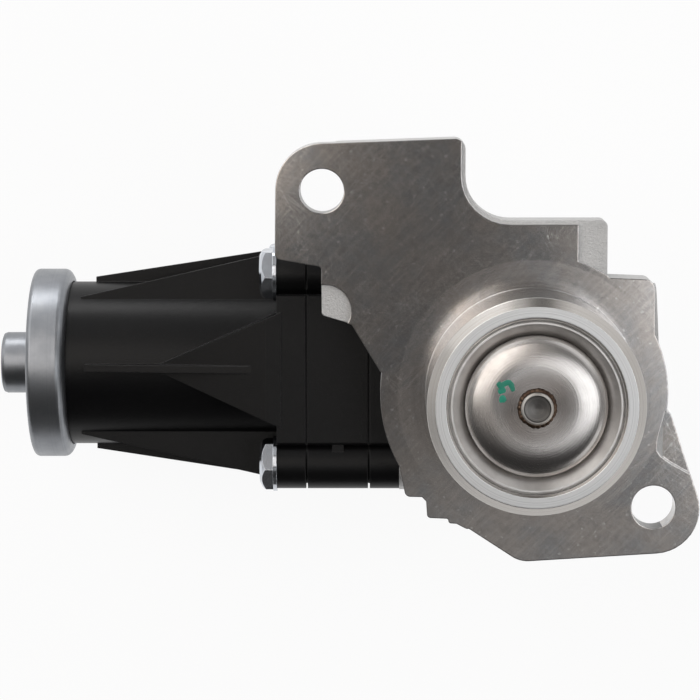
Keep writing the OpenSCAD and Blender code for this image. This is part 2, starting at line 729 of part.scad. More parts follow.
// One slot of the armature core: a narrow mouth and a wide root
module core_slot() {
    translate([core_d / 2 - 3, -0.8]) square([4, 1.6]);
    polygon([[4.6, -1.2], [core_d / 2 - 1.6, -3.4], [core_d / 2 - 1.6, 3.4], [4.6, 1.2]]);
}

module armature_core() color("gray") along_x(core_x, core_l) difference() {
    circle(d = core_d);
    circle(r = rotor_shaft_d / 2 + seat_gap);
    for (k = [0 : core_slots - 1]) rotate(360 * k / core_slots) core_slot();
}

module windings() color("peru") {
    turn = 360 / core_slots;
    for (k = [0 : core_slots - 1]) for (x = [core_x - 4.5, core_x + core_l + 0.02])
        on_axis(x) rotate(k * turn + 90) rotate_extrude(angle = turn - 10) polygon([
            [4, 0.6], [4.8, 0], [9.6, 0], [10.6, 1], [10.6, 4.44], [4, 4.44]
        ]);
    for (k = [0 : core_slots - 1]) along_x(core_x - 1, core_l + 2) rotate(k * turn)
        polygon([[5, -1.1], [core_d / 2 - 1.8, -3.1], [core_d / 2 - 1.8, 3.1], [5, 1.1]]);
}

module commutator() color("chocolate") along_x(commutator_x, commutator_l) difference() {
    circle(d = commutator_d);
    circle(r = rotor_shaft_d / 2 + seat_gap);
    for (k = [0 : core_slots - 1]) rotate(360 * (k + 0.5) / core_slots)
        translate([commutator_d / 2 - 0.8, -0.2]) square([2, 0.4]);
}

module motor_can() color("silver") on_axis(can_x) ring(can_r, can_r - can_t, holder_x - 1 - can_x);

module magnets() color("dimgray") for (s = [0, 180])
    on_axis(core_x - 2) rotate(s + 30) rotate_extrude(angle = 120)
        translate([can_r - can_t - magnet_t - seat_gap, 0]) square([magnet_t, core_l + 4]);

module brush_holder() color("darkgreen") difference() {
    union() {
        on_axis(holder_x) ring(can_r, commutator_d / 2 + 2, 2.5);
        at_brushes(-0.9 - brush_wall, -brush_wall) translate([0, 0.9, 0])
            cube([holder_x - commutator_x + 0.5, brush_l + 0.2, brush_t + 2 * brush_wall]);
    }
    at_brushes(-seat_gap, -seat_gap) translate([0, -3, 0])
        cube([brush_t + 2 * seat_gap, brush_l + 6, brush_t + 2 * seat_gap]);
}

// Repeats its child at the inner corner of each brush, moved outwards in X and Z by dx and dz
module at_brushes(dx, dz) {
    for (a = [0, 180]) translate([0, 0, axis_z]) rotate([a, 0, 0])
        translate([commutator_x + 0.93 + dx, commutator_d / 2 + 0.3, dz - brush_t / 2]) children();
}

module brushes() color("black") at_brushes(0, 0) cube([brush_t, brush_l, brush_t]);

module motor_bearing() color("silver") on_axis(partition_x) rotate_extrude()
    bearing_profile(rotor_shaft_d / 2 + run_gap, motor_bearing_r - seat_gap, motor_bearing_w);

module output_bearing() color("silver") on_axis(cover_x) rotate_extrude()
    bearing_profile(shaft_d / 2 + run_gap, bearing_d / 2 - seat_gap, bearing_w);

// Half section of a shielded ball bearing
module bearing_profile(r0, r1, w) {
    t = (r1 - r0) / 4;
    polygon([
        [r0, 0], [r0 + t, 0], [r0 + t, 0.3], [r1 - t, 0.3], [r1 - t, 0], [r1, 0],
        [r1, w], [r1 - t, w], [r1 - t, w - 0.3], [r0 + t, w - 0.3], [r0 + t, w], [r0, w]
    ]);
}

module rear_bush() color("darkgoldenrod") on_axis(boss_end_x + 2.5)
    ring(rear_bush_r - seat_gap, rotor_shaft_d / 2 + run_gap, 6);

module shaft_bush() color("darkgoldenrod") on_axis(case_wall_x - bush_l)
    ring(shaft_bush_r - seat_gap, shaft_d / 2 + run_gap, bush_l);

module shaft_seal() color("dimgray") on_axis(body_joint_x) rotate_extrude() polygon([
    [shaft_d / 2 + run_gap, 0.8], [shaft_d / 2 + 0.9, 0.02], [shaft_seal_r - seat_gap, 0.02],
    [shaft_seal_r - seat_gap, seal_l], [shaft_d / 2 + 1, seal_l], [shaft_d / 2 + run_gap, seal_l - 0.6]
]);

// Outline of the plastic gearbox: raised panels between four round screw tubes
module box_outline() {
    core = box_w - 4;
    panel = screw_pitch - 2 * (screw_boss_r - 0.9);
    rounded_rect(core, core, corner_r - 0.9);
    rounded_rect(box_w - 0.6, panel, 0.6);
    rounded_rect(panel, box_w - 0.6, 0.6);
    for (sx = [-1, 1], sy = [-1, 1]) translate([sx * screw_o, sy * screw_o]) circle(r = screw_boss_r);
    translate([0, -centre_distance]) circle(r = gear_room_r + box_wall);
}

// Space inside the gearbox, clear of the screw tubes
module box_space() {
    difference() {
        rounded_rect(box_w - 2 * box_wall - 1.6, box_w - 2 * box_wall - 1.6, 2);
        for (sx = [-1, 1], sy = [-1, 1]) translate([sx * screw_o, sy * screw_o]) circle(r = screw_boss_r + 0.8);
    }
    translate([0, -centre_distance]) circle(r = gear_room_r);
}

// Narrow shadow gap round a joint of the gearbox, centred on station x
module seam(x) {
    along_x(x - 0.2, 0.4) difference() {
        square(box_w + 20, center = true);
        rounded_rect(box_w - 1.6, box_w - 1.6, corner_r - 0.8);
        translate([0, -centre_distance]) circle(r = gear_room_r + box_wall - 0.8);
    }
}

// Through holes for the four housing screws
module screw_holes(x, l) {
    at_screws() on_axis(x, 0, 0) cylinder(r = screw_d / 2 + 0.3, h = l);
}

module gear_cover() color("#1c1c1e") clocked() difference() {
    union() {
        along_x(cover_x, cover_t) box_outline();
        on_axis(idler_stop_x, 0, idler_z) cylinder(r = 3, h = cover_x - idler_stop_x + join);
    }
    screw_holes(cover_x - 1, cover_t + 2);
    on_axis(cover_x - 1) cylinder(d = bearing_d, h = bearing_w + 1);
    on_axis(cover_x - 1) cylinder(r = shaft_d / 2 + free_gap, h = cover_t + 2);
    on_axis(idler_stop_x - 1, 0, idler_z) cylinder(r = gear_pin_d / 2 + seat_gap, h = cover_x - idler_stop_x + 4.7);
    on_axis(body_joint_x - joint_seal_t) ring(joint_seal_r + seat_gap, joint_seal_r - 1.6, joint_seal_t + 1);
    seam(cover_x);
}

module joint_seal() color("dimgray") on_axis(body_joint_x - joint_seal_t + 0.01)
    ring(joint_seal_r, joint_seal_r - 1.5, joint_seal_t - 0.02);

module gear_housing() color("#1c1c1e") clocked() difference() {
    union() {
        along_x(gearbox_x, gearbox_l) box_outline();
        for (sx = [-1, 1], sy = [-1, 1]) along_x(gearbox_x + 5.5, 2.4)
            translate([sx * (screw_o - 3.6), sy * (half_box - 1.8)]) square([2.8, 2.4], center = true);
    }
    along_x(gearbox_x - 1, gearbox_l + 2) box_space();
    screw_holes(gearbox_x - 1, gearbox_l + 2);
    seam(gearbox_x);
    seam(cover_x);
}

module housing_screws() color("whitesmoke") clocked() at_screws()
    hex_screw(motor_flange_x, screw_d, screw_af, screw_head_h, housing_screw_l);

module sensor_board() color("darkgreen") clocked() {
    translate([cover_x - 1, board_in_y - board_l, axis_z - 5]) cube([1, board_l, 10]);
    translate([cover_x - 1.7, board_in_y - 3.4, axis_z - 2]) cube([0.7 + 0.01, 3, 4]);
}

// Triangular cheek in front of the tube, its face level with the flange at the wide end
module cheek() {
    intersection() {
        translate([0, 0, motor_d / 4]) linear_extrude(half_box) polygon([
            [cheek_tip_x, 0], [motor_flange_x + 1, -cheek_half_w], [motor_flange_x + 1, cheek_half_w]
        ]);
        rotate([90, 0, 0]) translate([0, 0, -half_box]) linear_extrude(box_w) polygon([
            [cheek_tip_x - 1, 0], [cheek_tip_x - 1, motor_d / 2 - 0.4], [cheek_tip_x, motor_d / 2 - 0.2],
            [pad_x, half_box], [motor_flange_x + 1, half_box], [motor_flange_x + 1, 0]
        ]);
    }
}

// Thin rib along the tube that rises towards the flange, in the plane through the axis and +Z
module tall_rib(start) {
    translate([0, rib_t / 2, 0]) rotate([90, 0, 0]) linear_extrude(rib_t) polygon([
        [start, motor_d / 2 - 1], [start, motor_d / 2 + 1.1], [motor_flange_x + 1, half_box],
        [motor_flange_x + 1, motor_d / 2 - 1]
    ]);
}

// Rib beside the tall one that runs out to a screw
module cheek_rib(side) {
    start = sqrt(pow(motor_d / 2, 2) - pow(cheek_pitch / 2, 2));
    translate([0, side * cheek_pitch / 2 + rib_t / 2, 0]) rotate([90, 0, 0]) linear_extrude(rib_t) polygon([
        [rib_x - 1.5, start - 1.5], [rib_x - 1.5, start], [motor_flange_x + 1, half_box - 0.4],
        [motor_flange_x + 1, start - 1.5]
    ]);
}

// Plug socket on the back of the motor housing, moulded in one with it
module socket_outside() {
    along_x(motor_flange_x - socket_l, socket_l + 1, 0, socket_z) rounded_rect(socket_w, socket_h, 3);
    along_x(motor_flange_x - socket_l, 1.6, 0, socket_z) rounded_rect(socket_w + 1.6, socket_h + 1.6, 3.4);
    translate([0, 4, 0]) rotate([90, 0, 0]) linear_extrude(8) polygon([
        [motor_flange_x - socket_l + 3, socket_z - socket_h / 2 + join],
        [motor_flange_x - socket_l + 3, socket_z - socket_h / 2 - 0.4],
        [motor_flange_x - socket_l + 7, socket_z - socket_h / 2 - 1.6],
        [motor_flange_x - socket_l + 8, socket_z - socket_h / 2 - 1.6],
        [motor_flange_x - socket_l + 8, socket_z - socket_h / 2 + join]
    ]);
}

// Repeats its child at each contact pin
module at_pins() {
    for (k = [0 : pin_count - 1]) translate([0, (k - (pin_count - 1) / 2) * pin_pitch, socket_z]) children();
}

module motor_housing() color("#1c1c1e") difference() {
    union() {
        on_axis(motor_end_x) cylinder(d = motor_d, h = motor_l + 1);
        on_axis(motor_end_x) cylinder(r = rim_r - seat_gap, h = rim_l);
        clocked() along_x(motor_flange_x, motor_flange_t) box_outline();
        clocked() translate([0, 0, axis_z]) {
            tall_rib(rib_x);
            for (a = [90, 270]) rotate([a, 0, 0]) tall_rib(rib_x + 0.9);
            for (a = [90, 270], side = [-1, 1]) rotate([a, 0, 0]) cheek_rib(side);
            cheek();
        }
        socket_outside();
    }
    on_axis(motor_end_x - 1) cylinder(d = motor_d - 2 * motor_wall, h = partition_x - motor_end_x + 1);
    on_axis(partition_x - 1) cylinder(r = motor_bearing_r, h = motor_bearing_w + 1);
    on_axis(partition_x - 1) cylinder(r = rotor_shaft_d / 2 + free_gap, h = motor_flange_t + 2);
    clocked() difference() {
        along_x(motor_wall_x, 2) box_space();
        on_axis(motor_wall_x - 1, 0, idler_z) cylinder(r = 3, h = wheel_x - 0.3 - motor_wall_x + 1);
    }
    clocked() on_axis(gear_pin_x - 0.2, 0, idler_z) cylinder(r = gear_pin_d / 2 + seat_gap, h = 8);
    clocked() screw_holes(motor_flange_x - 1, motor_flange_t + 2);
    along_x(motor_flange_x - socket_l - 1, socket_l - 6, 0, socket_z)
        rounded_rect(socket_w - 2 * socket_wall, socket_h - 2 * socket_wall, 1.8);
    at_pins() translate([motor_flange_x - 8, -pin_t / 2 - seat_gap, -pin_w / 2 - seat_gap])
        cube([6.5, pin_t + 2 * seat_gap, pin_w + 2 * seat_gap]);
    clocked() seam(gearbox_x);
}

module connector_pins() color("gold") at_pins()
    translate([motor_flange_x - 2 - pin_length, -pin_t / 2, -pin_w / 2]) cube([pin_length, pin_t, pin_w]);

module motor_end_cap() color("lightsteelblue") on_axis(boss_end_x) {
    skirt_r = motor_d / 2 + 0.15;
    skirt_z = cap_boss_l + cap_l;
    seat_at = motor_end_x - boss_end_x;
    rotate_extrude() polygon(concat(
        [[0, 0], [cap_boss_d / 2 - 0.9, 0], [cap_boss_d / 2 - 0.25, 0.25], [cap_boss_d / 2, 0.9],
         [cap_boss_d / 2, cap_boss_l - 0.5], [cap_boss_d / 2 + 0.5, cap_boss_l]],
        [for (a = [90 : -15 : 0]) [cap_d / 2 - cap_edge * (1 - cos(a)), cap_boss_l + cap_edge * (1 - sin(a))]],
        [for (a = [0 : 15 : 90])
            [cap_d / 2 - (cap_d / 2 - skirt_r) * (1 - cos(a)), skirt_z - cap_roll * (1 - sin(a))]],
        [[skirt_r, seat_at + rim_l + 0.4], [rim_r, seat_at + rim_l + 0.05], [rim_r, seat_at - 0.01],
         [motor_d / 2 - motor_wall, seat_at - 0.01], [motor_d / 2 - motor_wall, cap_boss_l + cap_face_t],
         [rear_bush_r, cap_boss_l + cap_face_t], [rear_bush_r, 1.6], [0, 1.6]]
    ));
}

// Outline of the cam cover: a disc with four ears
module cover_outline() {
    circle(r = case_bore / 2 + case_wall);
    for (a = [45 : 90 : 315]) rotate(a) translate([ear_pitch_r, 0]) circle(r = ear_r);
}

module cam_cover() color("silver") difference() {
    union() {
        along_x(case_end_x + 0.01, cam_cover_t) cover_outline();
        on_axis(case_end_x - 2.2) cylinder(r = case_bore / 2 - seat_gap, h = 2.2 + join);
        on_axis(case_end_x + cam_cover_t - join) cylinder(r = 12, h = 1.2 + join);
    }
    on_axis(case_end_x - 3) cylinder(r = case_bore / 2 - 3.6, h = 3);
    on_axis(case_end_x - 1.5) ring(case_bore / 2 + 1, case_bore / 2 - 1.6, 1.1);
    at_cover_screws() on_axis(case_end_x - 1, 0, 0) cylinder(r = cover_screw_d / 2 + 0.25, h = cam_cover_t + 2);
}

module cam_cover_seal() color("dimgray") on_axis(case_end_x - 1.47)
    ring(case_bore / 2 - seat_gap, case_bore / 2 - 1.6 + seat_gap, 1.04);

module cam_cover_screws() color("whitesmoke") at_cover_screws() {
    d = cover_screw_d;
    translate([case_end_x + cam_cover_t + 0.02, 0, 0]) rotate([0, -90, 0]) {
        cylinder(d = d, h = 10);
        translate([0, 0, -d * 0.8]) difference() {
            rotate_extrude() polygon([
                [0, 0], [d * 0.75, 0], [d * 0.87, d * 0.12], [d * 0.87, d * 0.8], [0, d * 0.8]
            ]);
            translate([0, 0, -1]) cylinder(d = d * 0.85, h = 1 + d * 0.45, $fn = 6);
        }
    }
}

valve_body();
seat_ring();
guide_bush();
stem_seal();
shaft_bush();
shaft_seal();
cam_cover();
cam_cover_seal();
cam_cover_screws();
gear_cover();
gear_housing();
joint_seal();
housing_screws();
output_bearing();
gear_pin();
sensor_board();
motor_housing();
connector_pins();
motor_bearing();
motor_can();
magnets();
brush_holder();
brushes();
motor_end_cap();
rear_bush();
rotor_shaft();
armature_core();
windings();
commutator();
pinion();
idler_gear();
output_shaft();
output_gear();
sensor_magnet();
cam_disc();
stem();
poppet();
weld_bead();
spring_seat();
follower_pin();
return_spring();
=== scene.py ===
"""Looks of an electric exhaust gas recirculation valve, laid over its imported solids.

The frame is the part's own: the origin is where the valve axis meets the flange face, +Z points out of
the flange along the spigot and the motor lies towards -X. All sizes are in metres.
"""

import logging
import math
import random
from dataclasses import dataclass, field
from enum import Enum
from typing import Any, Mapping, Optional, Sequence, Union

import bmesh
import bpy
from mathutils import Matrix, Vector


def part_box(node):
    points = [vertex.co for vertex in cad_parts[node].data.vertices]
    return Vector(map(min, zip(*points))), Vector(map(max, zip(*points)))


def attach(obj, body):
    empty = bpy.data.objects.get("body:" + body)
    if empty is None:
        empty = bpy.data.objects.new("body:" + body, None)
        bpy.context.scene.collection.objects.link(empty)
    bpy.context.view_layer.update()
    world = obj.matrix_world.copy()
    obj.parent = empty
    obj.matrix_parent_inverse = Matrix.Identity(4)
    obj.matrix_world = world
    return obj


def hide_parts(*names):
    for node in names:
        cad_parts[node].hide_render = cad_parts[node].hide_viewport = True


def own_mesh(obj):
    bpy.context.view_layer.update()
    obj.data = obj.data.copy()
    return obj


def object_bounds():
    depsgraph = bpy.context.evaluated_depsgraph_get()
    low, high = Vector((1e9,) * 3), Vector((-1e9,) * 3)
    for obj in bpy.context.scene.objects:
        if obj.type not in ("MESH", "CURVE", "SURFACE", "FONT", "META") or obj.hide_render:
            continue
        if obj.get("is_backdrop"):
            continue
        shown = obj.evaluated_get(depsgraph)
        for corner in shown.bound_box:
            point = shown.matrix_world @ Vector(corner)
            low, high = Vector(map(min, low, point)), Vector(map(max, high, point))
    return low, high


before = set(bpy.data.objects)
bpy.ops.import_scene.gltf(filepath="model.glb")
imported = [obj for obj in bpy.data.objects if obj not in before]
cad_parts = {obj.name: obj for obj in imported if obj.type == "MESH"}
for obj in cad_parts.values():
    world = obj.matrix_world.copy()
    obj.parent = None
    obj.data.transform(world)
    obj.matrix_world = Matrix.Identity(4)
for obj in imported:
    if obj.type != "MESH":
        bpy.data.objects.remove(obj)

LOG = logging.getLogger("valve")
MM = 0.001
FLOOR_GAP = 0.2 * MM
Colour = tuple[float, float, float]
Number = Union[float, "Value"]


class Axis(Enum):
    """Line about which a surface was turned."""

    VALVE = "valve"
    MOTOR = "motor"


class Value:
    """A number that varies over a surface: one output socket, with arithmetic that adds Math nodes."""

    def __init__(self, graph: "Graph", socket: bpy.types.NodeSocket) -> None:
        """Keeps the socket.

        Args:
            graph: the material's graph.
            socket: the output socket that carries the number.
        """
        self.graph = graph
        self.socket = socket

    def _math(self, operation: str, *others: Number, clamp: bool = False) -> "Value":
        """Adds one Math node.

        Args:
            operation: the node's operation.
            others: the second and third inputs.
            clamp: whether the result is held between 0 and 1.

        Returns:
            The node's result.
        """
        return self.graph.math(operation, self, *others, clamp=clamp)

    def __add__(self, other: Number) -> "Value":
        """Sum."""
        return self._math("ADD", other)

    def __radd__(self, other: Number) -> "Value":
        """Sum, other way round."""
        return self._math("ADD", other)

    def __sub__(self, other: Number) -> "Value":
        """Difference."""
        return self._math("SUBTRACT", other)

    def __rsub__(self, other: Number) -> "Value":
        """Difference, other way round."""
        return self.graph.math("SUBTRACT", other, self)

    def __mul__(self, other: Number) -> "Value":
        """Product."""
        return self._math("MULTIPLY", other)

    def __rmul__(self, other: Number) -> "Value":
        """Product, other way round."""
        return self._math("MULTIPLY", other)

    def root(self) -> "Value":
        """Square root."""
        return self._math("SQRT")

    def size(self) -> "Value":
        """Distance from zero."""
        return self._math("ABSOLUTE")

    def least(self, other: Number) -> "Value":
        """The smaller of the two."""
        return self._math("MINIMUM", other)

    def most(self, other: Number) -> "Value":
        """The larger of the two."""
        return self._math("MAXIMUM", other)

    def clamped(self) -> "Value":
        """The number held between 0 and 1."""
        return self._math("ADD", 0.0, clamp=True)

    def ramp(self, low: float, high: float) -> "Value":
        """Smooth step from 0 at low to 1 at high.

        Args:
            low: where the step starts.
            high: where it ends; below low, the step falls.

        Returns:
            The step's value.
        """
        flip = high < low
        node = self.graph.node(
            "ShaderNodeMapRange",
            {"interpolation_type": "SMOOTHSTEP"},
            {"Value": self, "From Min": min(low, high), "From Max": max(low, high)},
        )
        step = Value(self.graph, node.outputs["Result"])
        return 1 - step if flip else step


class Graph:
    """Node tree of one material or of the world."""

    def __init__(self, name: str, world: bool = False) -> None:
        """Starts an empty material or world.

        Args:
            name: its name.
            world: whether it is a world.
        """
        self.owner = (bpy.data.worlds if world else bpy.data.materials).new(name)
        self.owner.use_nodes = True
        self.tree = self.owner.node_tree
        self.tree.nodes.clear()
        self._place: Optional[bpy.types.NodeSocket] = None
        self._parts: dict[str, Value] = {}

    def node(self, kind: str, settings: Mapping[str, Any], values: Mapping[Any, Any]) -> bpy.types.Node:
        """Adds one node.

        Args:
            kind: the node's type.
            settings: its properties, set before its sockets; "stops" are a ramp's (position, colour) pairs.
            values: numbers, colours or links of its input sockets, by name or index.

        Returns:
            The node.
        """
        made = self.tree.nodes.new(kind)
        for key, setting in settings.items():
            if key == "stops":
                elements = made.color_ramp.elements
                while len(elements) < len(setting):
                    elements.new(0.5)
                for element, (position, colour) in zip(elements, setting):
                    element.position, element.color = position, (*colour, 1.0)
            else:
                setattr(made, key, setting)
        for key, value in values.items():
            self.feed(made.inputs[key], value)
        return made

    def feed(self, socket: bpy.types.NodeSocket, value: Any) -> None:
        """Sets or links one input socket.

        Args:
            socket: the input socket.
            value: a number, a colour, a Value or an output socket.
        """
        if isinstance(value, Value):
            self.tree.links.new(value.socket, socket)
        elif isinstance(value, bpy.types.NodeSocket):
            self.tree.links.new(value, socket)
        elif isinstance(value, (tuple, list)) and socket.type == "RGBA" and len(value) == 3:
            socket.default_value = (*value, 1.0)
        else:
            socket.default_value = value

    def math(self, operation: str, first: Number, *others: Number, clamp: bool = False) -> Value:
        """Adds one Math node.

        Args:
            operation: the node's operation.
            first: the first input.
            others: the second and third inputs.
            clamp: whether the result is held between 0 and 1.

        Returns:
            The node's result.
        """
        made = self.node(
            "ShaderNodeMath",
            {"operation": operation, "use_clamp": clamp},
            dict(enumerate((first, *others))),
        )
        return Value(self, made.outputs[0])

    @property
    def place(self) -> bpy.types.NodeSocket:
        """The point on the object, in the part's own frame."""
        if self._place is None:
            self._place = self.node("ShaderNodeTexCoord", {}, {}).outputs["Object"]
        return self._place

    def axis(self, letter: str) -> Value:
        """One coordinate of the point on the object.

        Args:
            letter: X, Y or Z.

        Returns:
            The coordinate, in metres.
        """
        if letter not in self._parts:
            made = self.node("ShaderNodeSeparateXYZ", {}, {0: self.place})
            self._parts.update({k: Value(self, made.outputs[k]) for k in "XYZ"})
        return self._parts[letter]

    def facing(self, letter: str) -> Value:
        """One component of the surface's normal in the part's own frame, for a body that only slides.

        Args:
            letter: X, Y or Z.

        Returns:
            The component, from -1 to 1.
        """
        key = "N" + letter
        if key not in self._parts:
            made = self.node("ShaderNodeTexCoord", {}, {})
            split = self.node("ShaderNodeSeparateXYZ", {}, {0: made.outputs["Normal"]})
            self._parts.update({"N" + k: Value(self, split.outputs[k]) for k in "XYZ"})
        return self._parts[key]

    def radius(self, axis: Axis) -> Value:
        """Distance from one of the two axes.

        Args:
            axis: the valve's or the motor's axis.

        Returns:
            The distance, in metres.
        """
        y = self.axis("Y")
        other = self.axis("X") if axis is Axis.VALVE else self.axis("Z") + MotorLine.depth
        return (y * y + other * other).root()

    def noise(self, scale: float, detail: float = 2.0, rough: float = 0.5,
              stretch: Sequence[float] = (1, 1, 1), turn: Sequence[float] = (0, 0, 0)) -> Value:
        """Noise in space, from 0 to 1.

        Args:
            scale: waves per metre.
            detail: how many finer layers.
            rough: the strength of the finer layers.
            stretch: factors on the scale along the axes.
            turn: turn of the pattern about the axes, in degrees.

        Returns:
            The noise.
        """
        place: Any = self.place
        if tuple(stretch) != (1, 1, 1) or tuple(turn) != (0, 0, 0):
            turned = self.node(
                "ShaderNodeMapping", {"vector_type": "POINT"},
                {"Vector": place, "Rotation": [math.radians(a) for a in turn]},
            ).outputs[0]
            stretched = self.node(
                "ShaderNodeVectorMath", {"operation": "MULTIPLY"}, {0: turned, 1: tuple(stretch)}
            )
            place = stretched.outputs[0]
        made = self.node(
            "ShaderNodeTexNoise", {"noise_dimensions": "3D"},
            {"Vector": place, "Scale": scale, "Detail": detail, "Roughness": rough},
        )
        return Value(self, made.outputs[0])

    def lines(self, along: Value, scale: float, detail: float = 2.0) -> Value:
        """Noise along one number, which gives tool lines.

        Args:
            along: the number, in metres.
            scale: waves per metre.
            detail: how many finer layers.

        Returns:
            The noise, from 0 to 1.
        """
        made = self.node(
            "ShaderNodeTexNoise", {"noise_dimensions": "1D"}, {"W": along, "Scale": scale, "Detail": detail}
        )
        return Value(self, made.outputs[0])

    def cells(self, scale: float) -> Value:
        """Cell pattern.

        Args:
            scale: cells per metre.

        Returns:
            The distance to the nearest cell's point.
        """
        made = self.node("ShaderNodeTexVoronoi", {"feature": "F1"}, {"Vector": self.place, "Scale": scale})
        return Value(self, made.outputs["Distance"])

    def blend(self, factor: Number, first: Any, second: Any) -> bpy.types.NodeSocket:
        """Mixes two colours.

        Args:
            factor: 0 for the first, 1 for the second.
            first: a colour or a colour socket.
            second: a colour or a colour socket.

        Returns:
            The mixed colour.
        """
        made = self.tree.nodes.new("ShaderNodeMix")
        made.data_type = "RGBA"
        colours = [s for s in made.inputs if s.type == "RGBA"]
        self.feed(made.inputs[0], factor)
        self.feed(colours[0], first)
        self.feed(colours[1], second)
        return next(s for s in made.outputs if s.type == "RGBA")

    def rounded(self, radius: float, samples: int = 4) -> bpy.types.NodeSocket:
        """Normal that rounds the sharp edges.

        Args:
            radius: the edges' radius in metres.
            samples: how many rays it takes.

        Returns:
            The normal.
        """
        return self.node("ShaderNodeBevel", {"samples": samples}, {"Radius": radius}).outputs[0]

    def edge(self, normal: bpy.types.NodeSocket) -> Value:
        """How much a rounded normal departs from the true one: near 1 on an edge.

        Args:
            normal: the rounded normal.

        Returns:
            The mask, from 0 to 1.
        """
        true = self.node("ShaderNodeNewGeometry", {}, {}).outputs["Normal"]
        dot = self.node("ShaderNodeVectorMath", {"operation": "DOT_PRODUCT"}, {0: normal, 1: true})
        return Value(self, dot.outputs["Value"]).ramp(0.995, 0.9)

    def finish(self, colour: Any, roughness: Number, metallic: Number = 0.0, height: Optional[Value] = None,
               normal: Optional[bpy.types.NodeSocket] = None,
               constants: Optional[Mapping[str, Any]] = None) -> bpy.types.Material:
        """Closes the material with its shader.

        Args:
            colour: base colour.
            roughness: roughness.
            metallic: 1 for bare metal.
            height: the relief, in millimetres.
            normal: normal under the relief.
            constants: other sockets of the shader, the same all over the surface.

        Returns:
            The material.
        """
        values: dict[str, Any] = {"Base Color": colour, "Roughness": roughness, "Metallic": metallic}
        if height is not None:
            inputs: dict[str, Any] = {"Height": height, "Distance": MM, "Strength": 1.0}
            if normal is not None:
                inputs["Normal"] = normal
            values["Normal"] = self.node("ShaderNodeBump", {}, inputs).outputs[0]
        elif normal is not None:
            values["Normal"] = normal
        values.update(constants or {})
        shader = self.node("ShaderNodeBsdfPrincipled", {}, values)
        self.node("ShaderNodeOutputMaterial", {}, {"Surface": shader.outputs[0]})
        return self.owner


def toned(colour: Colour, factor: float) -> Colour:
    """A colour made darker or lighter by a factor."""
    return tuple(part * factor for part in colour)


def model(name: str, form: bmesh.types.BMesh, material: bpy.types.Material) -> bpy.types.Object:
    """Turns a finished form into an object of the scene.

    Args:
        name: the object's name.
        form: its shape, in metres; it is used up.
        material: its material.

    Returns:
        The object.
    """
    mesh = bpy.data.meshes.new(name)
    form.to_mesh(mesh)
    form.free()
    mesh.materials.append(material)
    thing = bpy.data.objects.new(name, mesh)
    bpy.context.scene.collection.objects.link(thing)
    return thing


def ring_point(form: bmesh.types.BMesh, out: float, turn: float, up: float) -> bmesh.types.BMVert:
    """Adds a point given by its distance from the valve's axis.

    Args:
        form: the mesh that takes it.
        out: distance from the axis in millimetres.
        turn: angle about the axis in radians.
        up: height in millimetres.

    Returns:
        The vertex.
    """
    return form.verts.new(Vector((out * math.cos(turn), out * math.sin(turn), up)) * MM)


def skin(form: bmesh.types.BMesh, rings: Sequence[Sequence[bmesh.types.BMVert]], closed: bool) -> None:
    """Joins rings of vertices, one to the next, with smooth faces.

    Args:
        form: the mesh that takes the faces.
        rings: the rings in order, each with as many vertices.
        closed: whether the last ring is joined to the first.
    """
    for first, second in zip(rings, [*rings[1:], *(rings[:1] if closed else ())]):
        for i in range(len(first)):
            j = (i + 1) % len(first)
            form.faces.new((first[i], second[i], second[j], first[j])).smooth = True


@dataclass(frozen=True)
class MotorLine:
    """Where the motor's axis runs."""

    depth: float = 50 * MM


